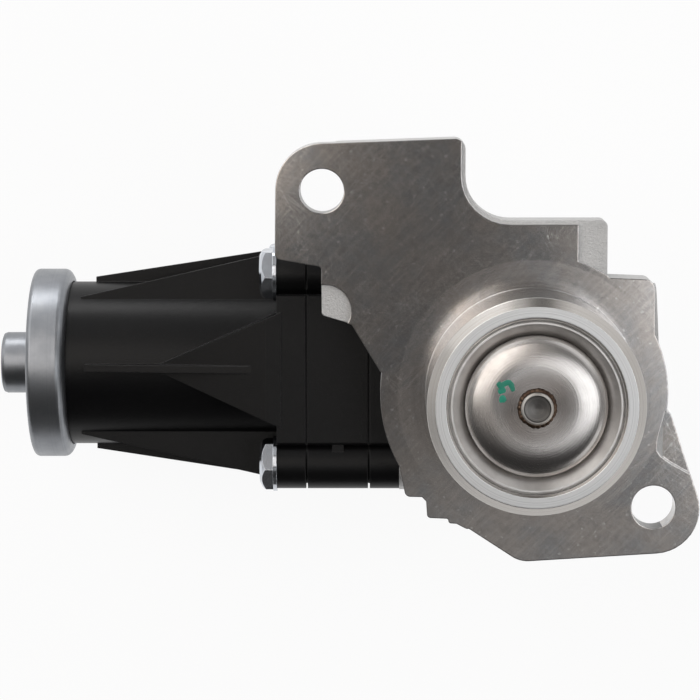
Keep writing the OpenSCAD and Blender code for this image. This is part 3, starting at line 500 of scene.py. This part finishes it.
@dataclass(frozen=True)
class CastBody:
    """Aluminium casting with milled faces, turned spigot and drilled holes.

    A field that ends in scale is in waves per metre, and one that ends in share is the strength of a layer.
    """

    cast: Colour = (0.62, 0.615, 0.61)
    milled: Colour = (0.42, 0.385, 0.36)
    milled_cool: Colour = (0.33, 0.335, 0.345)
    turned: Colour = (0.68, 0.68, 0.68)
    chamfered: Colour = (0.52, 0.5, 0.475)
    scratched: Colour = (0.68, 0.67, 0.65)
    worn: Colour = (0.72, 0.72, 0.72)
    spigot_r: float = 21.95 * MM
    ring_r: float = 27.6 * MM
    pad_x: float = 26.9 * MM
    face_half: float = 0.12 * MM
    grain_scale: float = 2300
    pit_scale: float = 2600
    cloud_scale: float = 90
    stain_scale: float = 60
    mottle_scale: float = 520
    streak_scale: float = 1300
    streak_turn: float = -44
    speck_scale: float = 1100
    wave_scale: float = 260
    tool_scale: float = 5200
    wall_scale: float = 4200
    arc_scale: float = 2300
    stain_share: float = 0.8
    mottle_share: float = 0.5
    streak_share: float = 0.2
    scratch_share: float = 0.5
    speck_share: float = 0.4
    arc_share: float = 0.35
    rounding: float = 0.3 * MM
    scratch_layers: tuple[tuple[float, float, float, float], ...] = (
        (4600, 38, 0.52, 0.68), (3900, -52, 0.55, 0.69), (5600, 84, 0.55, 0.69), (4900, 12, 0.56, 0.7),
        (3000, 61, 0.57, 0.71),
    )

    def _scratches(self, g: Graph) -> Value:
        """Fine crossed scratches of a milled face that was handled.

        Args:
            g: the material's graph.

        Returns:
            The scratches, from 0 to 1.
        """
        total: Value = sum(
            g.noise(scale, 2, 0.6, (0.03, 1, 1), (0, 0, turn)).ramp(low, high) * 0.5
            for scale, turn, low, high in self.scratch_layers
        )
        patches = g.noise(45, 3, 0.6).ramp(0.35, 0.75) * 0.7 + 0.3
        return (total * patches).clamped()

    def _milled_colour(self, g: Graph, mottle: Value, marks: Value, arcs: Value) -> bpy.types.NodeSocket:
        """Colour of the milled faces.

        Args:
            g: the material's graph.
            mottle: the small clouds.
            marks: scratches and specks, from 0 to 1.
            arcs: the tool's arcs in the ring round the spigot.

        Returns:
            The colour.
        """
        stain = g.noise(self.stain_scale, 4, 0.62).ramp(0.38, 0.62)
        streaks = g.noise(self.streak_scale, 3, 0.7, (0.1, 1, 1), (0, 0, self.streak_turn)).ramp(0.42, 0.66)
        colour = g.blend(stain * self.stain_share, self.milled, self.milled_cool)
        colour = g.blend(mottle.ramp(0.4, 0.65) * self.mottle_share, colour, toned(self.milled, 0.7))
        colour = g.blend(streaks * self.streak_share, colour, toned(self.milled, 1.5))
        colour = g.blend(marks, colour, self.scratched)
        return g.blend(arcs * self.arc_share, colour, toned(self.milled, 1.2))

    def _turned_colour(self, g: Graph, tool: Value, chamfer: Value) -> bpy.types.NodeSocket:
        """Colour of the turned spigot and of its chamfer.

        Args:
            g: the material's graph.
            tool: the tool lines.
            chamfer: mask of the chamfer.

        Returns:
            The colour.
        """
        bright = g.blend(tool.ramp(0.35, 0.7) * 0.8, self.turned, toned(self.turned, 0.74))
        bevelled = g.blend(tool.ramp(0.4, 0.7) * 0.5, self.chamfered, self.milled)
        return g.blend(chamfer, bright, bevelled)

    def _cast_colour(self, g: Graph, grain: Value) -> bpy.types.NodeSocket:
        """Colour of the raw casting.

        Args:
            g: the material's graph.
            grain: the casting's grain.

        Returns:
            The colour.
        """
        colour = g.blend(grain.ramp(0.3, 0.75), toned(self.cast, 0.8), self.cast)
        cloud = g.noise(self.cloud_scale, 3).ramp(0.45, 0.75)
        return g.blend(cloud * 0.5, colour, toned(self.cast, 0.7))

    def material(self) -> bpy.types.Material:
        """Builds the material.

        Returns:
            The material.
        """
        g = Graph("cast_body")
        z, x = g.axis("Z"), g.axis("X")
        r = g.radius(Axis.VALVE)
        up = g.facing("Z")
        face = (z.size() * -1).ramp(-self.face_half, -self.face_half / 3) * up.ramp(0.8, 0.95)
        pad = x.ramp(self.pad_x, self.pad_x + 0.07 * MM)
        above = z.ramp(0.02 * MM, 0.1 * MM)
        spigot = r.ramp(self.spigot_r + 0.1 * MM, self.spigot_r) * above
        ring = face * r.ramp(self.ring_r, self.ring_r - 0.15 * MM)
        milled = face.most(pad)
        plain = milled * (1 - spigot)
        raw = 1 - milled.most(spigot)
        flat = up.size().ramp(0.3, 0.9)
        chamfer = spigot * up.ramp(0.5, 0.62) * up.ramp(0.93, 0.8)
        tool = g.lines(r, self.tool_scale, 3) * flat + g.lines(z, self.wall_scale, 3) * (1 - flat)
        arcs = ring * g.lines(r, self.arc_scale, 3)
        scratches = self._scratches(g)
        specks = g.noise(self.speck_scale, 0).ramp(0.74, 0.79)
        marks = (scratches * self.scratch_share * (1 - ring * 0.6) + specks * self.speck_share).clamped()
        mottle = g.noise(self.mottle_scale, 5, 0.7)
        grain = g.noise(self.grain_scale, 4, 0.65)
        pits = g.cells(self.pit_scale).ramp(0.1, 0.55)
        rounded = g.rounded(self.rounding, 10)
        colour = g.blend(milled, self._cast_colour(g, grain), self._milled_colour(g, mottle, marks, arcs))
        colour = g.blend(spigot, colour, self._turned_colour(g, tool, chamfer))
        colour = g.blend(g.edge(rounded) * 0.5, colour, self.worn)
        rough = raw * (0.5 + grain * 0.12)
        rough = rough + plain * (0.105 + scratches * 0.03 + mottle * 0.06 + arcs * 0.05)
        rough = rough + spigot * (0.18 + tool * 0.1 + flat * 0.2 - chamfer * 0.14)
        waves = g.noise(self.wave_scale, 1) * 0.003
        height = raw * (grain * 0.08 + pits * 0.025) + plain * waves
        return g.finish(colour, rough, 1.0, height, rounded)


@dataclass(frozen=True)
class SatinPlastic:
    """Glass-filled moulding compound with a fine satin grain."""

    name: str = "satin_plastic"
    base: Colour = (0.0028, 0.0028, 0.0032)
    scuffed: Colour = (0.007, 0.0065, 0.0065)
    roughness: float = 0.33
    grain_depth: float = 0.025
    grain_scale: float = 3200
    flow_scale: float = 70
    speck_scale: float = 5200
    worn: Colour = (0.05, 0.05, 0.052)
    specular: float = 0.18

    def material(self) -> bpy.types.Material:
        """Builds the material.

        Returns:
            The material.
        """
        g = Graph(self.name)
        grain = g.noise(self.grain_scale, 3, 0.6)
        flow = g.noise(self.flow_scale, 4, 0.55, (0.35, 1, 1))
        rounded = g.rounded(0.3 * MM)
        edge = g.edge(rounded)
        specks = g.noise(self.speck_scale, 1).ramp(0.68, 0.74)
        colour = g.blend(flow.ramp(0.35, 0.75) * 0.5, self.base, self.scuffed)
        colour = g.blend((edge * 0.5 + specks * 0.2).clamped(), colour, self.worn)
        rough = self.roughness + (flow - 0.5) * 0.18 + grain * 0.06
        constants = {"Specular IOR Level": self.specular}
        return g.finish(colour, rough, 0.0, grain * self.grain_depth, rounded, constants)


@dataclass(frozen=True)
class TurnedMetal:
    """Bare metal with tool lines about the valve's or the motor's axis, with painted shade near the axis and
    at the rim where asked.
    """

    name: str
    base: Colour
    shade: Colour
    roughness: float = 0.22
    axis: Axis = Axis.VALVE
    line_scale: float = 4200.0
    cloud_scale: float = 160.0
    line_depth: float = 0.0008
    # painted shade: a darker colour near the axis, inside the given radii, standing in for the poppet disc's
    # dark reflection and the shade in the stem end's recess
    painted_centre_shade: Optional[Colour] = None
    painted_centre_shade_r: tuple[float, float] = (0.0, 0.0)
    bevel: float = 0.15 * MM
    # painted shade: a dark colour beyond this radius, for the shade line where the poppet's rim meets the
    # seat
    painted_rim_shade_r: float = 0.0
    painted_rim_shade: Colour = (0.05, 0.04, 0.032)
    level_r: float = 0.0
    level_slope: float = 0.0
    brushed: float = 0.0

    def material(self) -> bpy.types.Material:
        """Builds the material.

        Returns:
            The material.
        """
        g = Graph(self.name)
        r = g.radius(self.axis)
        letter = "Z" if self.axis is Axis.VALVE else "X"
        flat = g.facing(letter).size().ramp(0.35, 0.9)
        along = g.axis(letter)
        tool = g.lines(r, self.line_scale, 3) * flat + g.lines(along, self.line_scale, 3) * (1 - flat)
        cloud = g.noise(self.cloud_scale, 4, 0.6)
        rounded = g.rounded(self.bevel)
        colour = g.blend(cloud.ramp(0.3, 0.75) * 0.7, self.base, self.shade)
        # painted shade: the centre near the axis is darkened in colour
        if self.painted_centre_shade is not None:
            colour = g.blend(r.ramp(self.painted_centre_shade_r[1], self.painted_centre_shade_r[0]) * 0.8, colour, self.painted_centre_shade)
        colour = g.blend(tool.ramp(0.55, 0.8) * 0.3, colour, self.shade)
        # painted shade: the rim beyond the given radius is darkened in colour, where the poppet meets the
        # seat
        if self.painted_rim_shade_r:
            colour = g.blend(r.ramp(self.painted_rim_shade_r, self.painted_rim_shade_r + 0.25 * MM) * 0.85, colour, self.painted_rim_shade)
        rough = self.roughness + tool * 0.1 + (cloud - 0.5) * 0.08
        height = tool * self.line_depth
        if self.level_slope:
            height = height + r.least(self.level_r) * (self.level_slope / MM)
        return g.finish(colour, rough, 1.0, height, rounded, {"Anisotropic": self.brushed})


@dataclass(frozen=True)
class PlatedSteel:
    """Bright zinc plate with a faint blotch and a few marks from the spanner."""

    name: str = "zinc_plate"
    base: Colour = (0.62, 0.65, 0.7)
    shade: Colour = (0.46, 0.47, 0.5)
    roughness: float = 0.1
    blotch_scale: float = 420
    mark_scale: float = 2600

    def material(self) -> bpy.types.Material:
        """Builds the material.

        Returns:
            The material.
        """
        g = Graph(self.name)
        blotch = g.noise(self.blotch_scale, 4, 0.6)
        marks = g.noise(self.mark_scale, 2, 0.6, (0.15, 1, 1), (20, 0, 30)).ramp(0.6, 0.75)
        rounded = g.rounded(0.12 * MM, 8)
        colour = g.blend(blotch.ramp(0.35, 0.7) * 0.6, self.base, self.shade)
        rough = self.roughness + blotch * 0.12 + marks * 0.08
        return g.finish(colour, rough, 1.0, blotch * 0.003, rounded)


@dataclass(frozen=True)
class Plain:
    """A quiet finish for a piece inside: colour clouds, grain and rounded edges."""

    name: str
    base: Colour
    shade: Colour
    roughness: float
    metallic: float = 0.0
    scale: float = 900.0
    depth: float = 0.02

    def material(self) -> bpy.types.Material:
        """Builds the material.

        Returns:
            The material.
        """
        g = Graph(self.name)
        grain = g.noise(self.scale, 3, 0.6)
        cloud = g.noise(self.scale * 0.12, 3, 0.5)
        colour = g.blend(cloud.ramp(0.3, 0.7), self.base, self.shade)
        colour = g.blend(grain.ramp(0.55, 0.8) * 0.4, colour, self.shade)
        rough = self.roughness + (grain - 0.5) * 0.12
        return g.finish(colour, rough, self.metallic, grain * self.depth, g.rounded(0.15 * MM))


WELD_METAL = Plain("weld_metal", (0.05, 0.032, 0.024), (0.16, 0.11, 0.08), 0.3, 1.0, 2600.0, 0.06)
SPRING_WIRE = Plain("spring_wire", (0.4, 0.4, 0.41), (0.28, 0.28, 0.3), 0.3, 1.0, 2600.0)
GREEN_PAINT = Plain("green_paint", (0.006, 0.26, 0.17), (0.004, 0.17, 0.11), 0.42, 0.0, 2400.0, 0.02)


@dataclass
class Finishes:
    """All finishes, each built once."""

    made: dict[str, bpy.types.Material] = field(default_factory=dict)

    def get(self, finish: Any) -> bpy.types.Material:
        """The material of a finish.

        Args:
            finish: one of the finish dataclasses.

        Returns:
            Its material, built at its first use.
        """
        key = repr(finish)
        if key not in self.made:
            self.made[key] = finish.material()
        return self.made[key]

    def dress(self, node: str, finish: Any) -> None:
        """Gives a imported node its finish.

        Args:
            node: the node's name.
            finish: one of the finish dataclasses.
        """
        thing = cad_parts[node]
        material = self.get(finish)
        if not thing.data.materials:
            thing.data.materials.append(material)
        for slot in thing.material_slots:
            slot.material = material


@dataclass(frozen=True)
class SoftLamp:
    """One soft area lamp: place, aim and size in metres, power in watts."""

    name: str
    place: tuple[float, float, float]
    size: tuple[float, float]
    power: float
    aim: tuple[float, float, float] = (-0.03, 0, -0.02)
    colour: Colour = (1, 1, 1)
    shape: str = "RECTANGLE"

    def hang(self) -> None:
        """Hangs the lamp."""
        data = bpy.data.lights.new(self.name, "AREA")
        data.shape = self.shape
        data.size, data.size_y = self.size
        data.energy = self.power
        data.color = self.colour
        thing = bpy.data.objects.new(self.name, data)
        bpy.context.scene.collection.objects.link(thing)
        thing.location = self.place
        thing.rotation_mode = "QUATERNION"
        thing.rotation_quaternion = (Vector(self.aim) - Vector(self.place)).to_track_quat("-Z", "Y")


WARM: Colour = (1.0, 0.95, 0.9)
COOL: Colour = (0.96, 0.98, 1.0)


@dataclass
class Studio:
    """Camera at the photograph's place, soft lamps, pale floor and world."""

    eye: Vector = field(default_factory=lambda: Vector((-29.92, 80.07, 561.11)) * MM)
    yaw: float = -0.012923
    pitch: float = 0.12584
    roll: float = -0.001633
    focal_px: float = 2771.7
    picture_px: float = 700.0
    sensor_mm: float = 36.0
    clip: tuple[float, float] = (0.01, 20.0)
    lamps: tuple[SoftLamp, ...] = (
        SoftLamp("right_panel", (0.592, -0.04, 1.1), (0.94, 0.62), 3.45, (0.592, -0.04, 0), COOL, "ELLIPSE"),
        SoftLamp("low_card", (0.03, -0.31, 1.1), (0.36, 0.2), 0.07, (0.03, -0.31, 0)),
        SoftLamp("left_card", (-0.55, 0.42, 1.1), (0.9, 0.9), 5.8, (-0.55, 0.42, 0), WARM),
        SoftLamp("back_left_panel", (-0.7, 0.9, 0.55), (1.1, 0.9), 3.1),
        SoftLamp("back_right_panel", (0.8, 0.85, 0.55), (1.0, 0.9), 2.0, colour=COOL),
        SoftLamp("front_right_panel", (0.95, -0.8, 0.45), (0.8, 0.7), 2.0),
        SoftLamp("tube_card", (-0.15, 0.32, -0.05), (0.16, 0.07), 0.22, (-0.085, 0, -0.05)),
    )
    sky: tuple[tuple[float, float], ...] = ((0.0, 1.0), (0.4, 0.75), (0.8, 0.32), (1.0, 0.28))
    sky_tint: Colour = (1.0, 0.985, 0.97)
    far_sky: float = 0.75
    near_sky: float = 0.11
    side_span: tuple[float, float] = (-0.6, 0.25)
    gap_sky: float = 0.08
    gap_x: float = 0.1
    gap_rise: float = 0.3
    gap_span: tuple[float, float] = (0.06, 0.22)
    floor_r: float = 3.0
    floor_white: float = 0.92

    def camera(self) -> None:
        """Sets up the camera."""
        ahead = Vector((
            math.sin(self.yaw) * math.cos(self.pitch),
            -math.sin(self.pitch),
            -math.cos(self.yaw) * math.cos(self.pitch),
        ))
        right = ahead.cross(Vector((0, 1, 0))).normalized()
        top = right.cross(ahead)
        c, s = math.cos(self.roll), math.sin(self.roll)
        right, top = c * right + s * top, c * top - s * right
        data = bpy.data.cameras.new("camera")
        data.sensor_width = self.sensor_mm
        data.lens = self.focal_px * self.sensor_mm / self.picture_px
        data.clip_start, data.clip_end = self.clip
        thing = bpy.data.objects.new("camera", data)
        bpy.context.scene.collection.objects.link(thing)
        turn = Matrix((right, top, -ahead)).transposed().to_4x4()
        thing.matrix_world = Matrix.Translation(self.eye) @ turn
        bpy.context.scene.camera = thing

    def world(self) -> None:
        """Fills the world with light: pale at the horizon, dimmer overhead and towards the viewer's feet.

        A dim gap low over the horizon, where X is near gap_x, gives the turned faces their dark streaks.
        """
        g = Graph("world", world=True)
        bpy.context.scene.world = g.owner
        way = g.node("ShaderNodeTexCoord", {}, {}).outputs["Generated"]
        split = g.node("ShaderNodeSeparateXYZ", {}, {0: way})
        x, y, z = (Value(g, split.outputs[letter]) for letter in "XYZ")
        stops = [(place, (grey, grey, grey)) for place, grey in self.sky]
        height = g.node("ShaderNodeValToRGB", {"stops": stops}, {0: z})
        height.color_ramp.interpolation = "EASE"
        side = y.ramp(*self.side_span) * (self.far_sky - self.near_sky) + self.near_sky
        clear = ((x - self.gap_x).size() + z * z * self.gap_rise).ramp(*self.gap_span)
        gap = clear * (1 - self.gap_sky) + self.gap_sky
        strength = side * gap * Value(g, height.outputs[0])
        sky = g.node("ShaderNodeBackground", {}, {"Color": self.sky_tint, "Strength": strength})
        g.node("ShaderNodeOutputWorld", {}, {"Surface": sky.outputs[0]})

    def floor(self, level: float) -> None:
        """Lays the pale floor under the part.

        Args:
            level: the floor's height.
        """
        g = Graph("pale_floor")
        path = g.node("ShaderNodeLightPath", {}, {})
        seen = Value(g, path.outputs["Is Camera Ray"]).most(Value(g, path.outputs["Is Glossy Ray"]))
        seen = seen.most(Value(g, path.outputs["Is Transmission Ray"]))
        card = g.node("ShaderNodeBsdfDiffuse", {}, {"Color": (0.9, 0.9, 0.9, 1)})
        glow = g.node("ShaderNodeEmission", {}, {"Color": (1, 1, 1, 1), "Strength": 1.0})
        mix = g.node(
            "ShaderNodeMixShader", {}, {0: seen * self.floor_white, 1: card.outputs[0], 2: glow.outputs[0]}
        )
        g.node("ShaderNodeOutputMaterial", {}, {"Surface": mix.outputs[0]})
        form = bmesh.new()
        bmesh.ops.create_circle(form, cap_ends=True, radius=self.floor_r, segments=96)
        thing = model("floor", form, g.owner)
        thing.location = (0, 0, level)
        thing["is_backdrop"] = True

    def build(self, level: float) -> None:
        """Sets up the whole studio.

        Args:
            level: the floor's height.
        """
        self.camera()
        for lamp in self.lamps:
            lamp.hang()
        self.world()
        self.floor(level)
        bpy.context.scene.view_settings.view_transform = "Standard"
        LOG.info("studio with %d lamps", len(self.lamps))


@dataclass
class Dressing:
    """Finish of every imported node."""

    finishes: Finishes

    def plan(self) -> dict[str, Any]:
        """Lists the finish of each node.

        Returns:
            Node name to finish.
        """
        bronze = Plain("bronze", (0.55, 0.38, 0.2), (0.42, 0.28, 0.14), 0.38, 1.0, 2400.0)
        rubber = Plain("rubber", (0.02, 0.02, 0.02), (0.035, 0.035, 0.035), 0.62, 0.0, 2600.0)
        ground = TurnedMetal("ground_steel", (0.66, 0.66, 0.67), (0.52, 0.52, 0.53), 0.2, Axis.MOTOR)
        zinc = PlatedSteel()
        black = SatinPlastic()
        cover = Plain("cast_cover", (0.5, 0.5, 0.5), (0.4, 0.4, 0.4), 0.5, 1.0, 1500.0, 0.12)
        board = Plain("board_green", (0.03, 0.17, 0.08), (0.02, 0.12, 0.06), 0.4, 0.0, 1800.0)
        contact = Plain("contact_brass", (0.72, 0.56, 0.27), (0.6, 0.45, 0.2), 0.28, 1.0, 2200.0)
        magnet = Plain("ferrite", (0.08, 0.08, 0.085), (0.12, 0.12, 0.12), 0.55, 0.0, 2000.0, 0.05)
        carbon = Plain("carbon", (0.03, 0.03, 0.03), (0.06, 0.06, 0.06), 0.5, 0.0, 3000.0)
        core = Plain("core_steel", (0.3, 0.3, 0.32), (0.2, 0.19, 0.19), 0.38, 1.0, 1500.0)
        copper = Plain("winding_copper", (0.62, 0.25, 0.1), (0.45, 0.16, 0.06), 0.3, 1.0, 1800.0, 0.06)
        acetal = Plain("acetal", (0.8, 0.77, 0.66), (0.72, 0.68, 0.56), 0.4, 0.0, 1400.0)
        seat = TurnedMetal("seat_steel", (0.68, 0.665, 0.65), (0.48, 0.46, 0.445), 0.36, line_scale=3000)
        dome = TurnedMetal(
            "poppet_steel", (0.51, 0.488, 0.472), (0.4, 0.375, 0.36), 0.2, line_scale=5200,
            # painted shade on the poppet's flat centre disc, in place of its dark reflection
            painted_centre_shade=(0.24, 0.215, 0.2), painted_centre_shade_r=(5.2 * MM, 8.6 * MM), level_r=7.7 * MM, level_slope=0.045,
            # painted shade line on the poppet's rim, where it meets the seat
            painted_rim_shade_r=14.1 * MM, brushed=0.6,
        )
        rod = TurnedMetal(
            "stem_steel", (0.56, 0.54, 0.51), (0.36, 0.33, 0.3), 0.3, line_scale=6500,
            # painted shade in the recess of the stem's end
            painted_centre_shade=(0.015, 0.015, 0.017), painted_centre_shade_r=(2.6 * MM, 2.9 * MM),
        )
        cap = TurnedMetal(
            "cap_steel", (0.29, 0.3, 0.318), (0.2, 0.21, 0.228), 0.33, Axis.MOTOR, 2600.0,
            line_depth=0.004, bevel=0.3 * MM,
        )
        return {
            "valve_body": CastBody(), "cam_cover": cover, "seat_ring": seat, "poppet": dome, "stem": rod,
            "weld_bead": WELD_METAL, "spring_seat": zinc, "follower_pin": ground,
            "return_spring": SPRING_WIRE, "guide_bush": bronze, "shaft_bush": bronze, "rear_bush": bronze,
            "stem_seal": rubber, "shaft_seal": rubber, "cam_cover_seal": rubber, "joint_seal": rubber,
            "cam_cover_screws": zinc, "housing_screws": zinc, "gear_cover": black, "gear_housing": black,
            "motor_housing": black, "motor_end_cap": cap, "output_bearing": ground, "motor_bearing": ground,
            "gear_pin": ground, "rotor_shaft": ground, "output_shaft": ground, "sensor_board": board,
            "brush_holder": board, "connector_pins": contact, "pinion": contact, "motor_can": zinc,
            "magnets": magnet, "sensor_magnet": magnet, "brushes": carbon, "armature_core": core,
            "cam_disc": core, "windings": copper, "commutator": copper, "idler_gear": acetal,
            "output_gear": acetal,
        }

    def build(self) -> None:
        """Dresses every node of the frame."""
        plan = self.plan()
        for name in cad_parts:
            self.finishes.dress(name, plan[name])
        LOG.info("dressed %d nodes", len(plan))


@dataclass
class PaintMark:
    """Inspector's dab of green paint on the poppet: a hook and a dot, brushed on.

    Each stroke is a row of places, x and y in millimetres, with the brush's width there.
    """

    finishes: Finishes
    strokes: tuple[tuple[tuple[float, float, float], ...], ...] = (
        ((-7.8, 5.1, 1.1), (-7.3, 4.5, 1.4), (-6.7, 3.9, 1.2)),
        ((-7.0, 4.4, 1.0), (-6.3, 4.9, 1.2), (-5.5, 5.0, 1.2), (-4.95, 4.2, 1.05), (-4.75, 3.3, 0.8)),
        ((-7.7, 3.1, 1.0), (-6.9, 3.5, 1.3), (-6.2, 3.6, 0.9)),
        ((-7.5, 1.85, 1.3), (-6.9, 1.8, 1.6), (-6.2, 2.1, 1.3)),
    )
    thickness: float = 0.05
    sunk: float = 0.004
    tip: float = 0.35
    swell: float = 0.4
    columns: tuple[float, ...] = (-1.0, -0.7, -0.25, 0.25, 0.7, 1.0)
    over_dome: float = 60.0
    dome_z: float = 19.0
    seed: int = 7

    def _on_dome(self, x: float, y: float, lift: float) -> Vector:
        """The point of the poppet's dome at a place, lifted a little.

        Args:
            x: place along X in millimetres.
            y: place along Y in millimetres.
            lift: height over the dome in millimetres.

        Returns:
            The point in metres.
        """
        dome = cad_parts["poppet"]
        hit, place, _, _ = dome.ray_cast(Vector((x, y, self.over_dome)) * MM, Vector((0, 0, -1)))
        height = place.z if hit else self.dome_z * MM
        return Vector((x * MM, y * MM, height + lift * MM))

    def _along(self, stroke: Sequence[Sequence[float]], steps: int = 6) -> list[Vector]:
        """Fills a stroke's places in with a smooth curve.

        Args:
            stroke: its places, each with the brush's width there.
            steps: points per stretch.

        Returns:
            The points: x, y and width in millimetres.
        """
        ends = [Vector(stroke[0]), *map(Vector, stroke), Vector(stroke[-1])]
        points = []
        for k in range(1, len(ends) - 2):
            a, b, c, d = ends[k - 1:k + 3]
            for i in range(steps):
                t = i / steps
                points.append(0.5 * (2 * b + (c - a) * t + (2 * a - 5 * b + 4 * c - d) * t**2
                                     + (3 * b - a - 3 * c + d) * t**3))
        return [*points, Vector(stroke[-1])]

    def _row(self, form: bmesh.types.BMesh, points: Sequence[Vector], k: int,
             rng: random.Random) -> list[bmesh.types.BMVert]:
        """Lays one row of a stroke across the brush's way.

        Args:
            form: the mesh that takes it.
            points: the stroke's points.
            k: which of them the row crosses.
            rng: where the unevenness comes from.

        Returns:
            The row's vertices.
        """
        point = points[k]
        near = points[min(k + 1, len(points) - 1)] - points[max(k - 1, 0)]
        across = Vector((-near.y, near.x)).normalized()
        taper = min(1.0, self.tip + self.swell * min(k, len(points) - 1 - k))
        half = point.z / 2 * taper * rng.uniform(0.85, 1.12)
        row = []
        for column in self.columns:
            lift = self.thickness * (1 - column**2) * taper * rng.uniform(0.8, 1.1) - self.sunk
            row.append(form.verts.new(self._on_dome(
                point.x + across.x * half * column, point.y + across.y * half * column, lift)))
        return row

    def build(self) -> None:
        """Builds the mark and lets it ride on the valve."""
        rng = random.Random(self.seed)
        form = bmesh.new()
        for stroke in self.strokes:
            points = self._along(stroke)
            rows = [self._row(form, points, k, rng) for k in range(len(points))]
            for first, second in zip(rows, rows[1:]):
                for i in range(len(self.columns) - 1):
                    form.faces.new((first[i], first[i + 1], second[i + 1], second[i])).smooth = True
        bmesh.ops.recalc_face_normals(form, faces=form.faces)
        if sum(face.normal.z for face in form.faces) < 0:
            bmesh.ops.reverse_faces(form, faces=form.faces)
        thing = model("paint_mark", form, self.finishes.get(GREEN_PAINT))
        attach(thing, "valve")
        LOG.info("paint mark with %d faces", len(thing.data.polygons))


@dataclass
class WeldBead:
    """Rippled weld round the stem, in place of the plain ring of the solids. Sizes are in millimetres."""

    finishes: Finishes
    stem_r: float = 3.27
    width: float = 0.86
    height: float = 0.66
    clearance: float = 0.02
    drops: int = 23
    steps_per_drop: int = 8
    sides: int = 9
    smallest: float = 0.72
    neck: float = 0.82
    seed: int = 11

    def build(self) -> None:
        """Builds the bead and puts it in the plain ring's place."""
        rng = random.Random(self.seed)
        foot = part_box("weld_bead")[0].z / MM + self.clearance
        inner = self.stem_r + self.clearance / 2
        steps = self.drops * self.steps_per_drop
        swell = [rng.uniform(self.smallest, 1.0) for _ in range(self.drops)]
        form = bmesh.new()
        rings = []
        for k in range(steps):
            turn = 2 * math.pi * k / steps
            drop, part = divmod(k * self.drops / steps, 1.0)
            near, after = swell[int(drop) % self.drops], swell[(int(drop) + 1) % self.drops]
            size = near + (after - near) * part**3
            size *= self.neck + (1 - self.neck) * math.sin(math.pi * part) ** 0.5
            wide, high = self.width * size, self.height * size
            outline = [
                (self.stem_r + wide * math.cos(lean), foot + high * math.sin(lean))
                for lean in (math.pi / 2 * i / (self.sides - 1) for i in range(self.sides))
            ]
            rings.append([ring_point(form, out, turn, up) for out, up in (*outline, (inner, foot))])
        skin(form, rings, closed=True)
        bmesh.ops.recalc_face_normals(form, faces=form.faces)
        thing = model("weld_ripples", form, self.finishes.get(WELD_METAL))
        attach(thing, "valve")
        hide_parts("weld_bead")
        LOG.info("weld bead with %d faces", len(thing.data.polygons))


@dataclass
class ReturnSpring:
    """Coil spring round the stem. Sizes are in millimetres."""

    finishes: Finishes
    coil_r: float = 5.3
    wire_r: float = 0.55
    turns: float = 5.0
    travel: float = 7.0
    steps: int = 180
    sides: int = 10

    def build(self) -> None:
        """Builds the spring and puts it in the place of the rigid one."""
        low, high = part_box("return_spring")
        foot, top = low.z / MM + self.wire_r, high.z / MM - self.wire_r
        form = bmesh.new()
        rings = []
        for k in range(self.steps + 1):
            part = k / self.steps
            turn = 2 * math.pi * self.turns * part
            middle = foot + (top - foot) * part
            leans = [2 * math.pi * i / self.sides for i in range(self.sides)]
            rings.append([
                ring_point(form, self.coil_r + self.wire_r * math.cos(lean), turn,
                           middle + self.wire_r * math.sin(lean))
                for lean in leans
            ])
        skin(form, rings, closed=False)
        form.faces.new(rings[0])
        form.faces.new(reversed(rings[-1]))
        bmesh.ops.recalc_face_normals(form, faces=form.faces)
        thing = model("coil", form, self.finishes.get(SPRING_WIRE))
        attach(thing, "housing")
        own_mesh(thing)
        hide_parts("return_spring")
        LOG.info("return spring with %d faces", len(thing.data.polygons))


def main() -> None:
    """Builds the scene in order."""
    logging.basicConfig(level=logging.INFO, format="%(name)s: %(message)s")
    low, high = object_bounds()
    studio = Studio()
    studio.build(low.z - FLOOR_GAP)
    finishes = Finishes()
    Dressing(finishes).build()
    PaintMark(finishes).build()
    WeldBead(finishes).build()
    ReturnSpring(finishes).build()


if __name__ == "__main__":
    main()
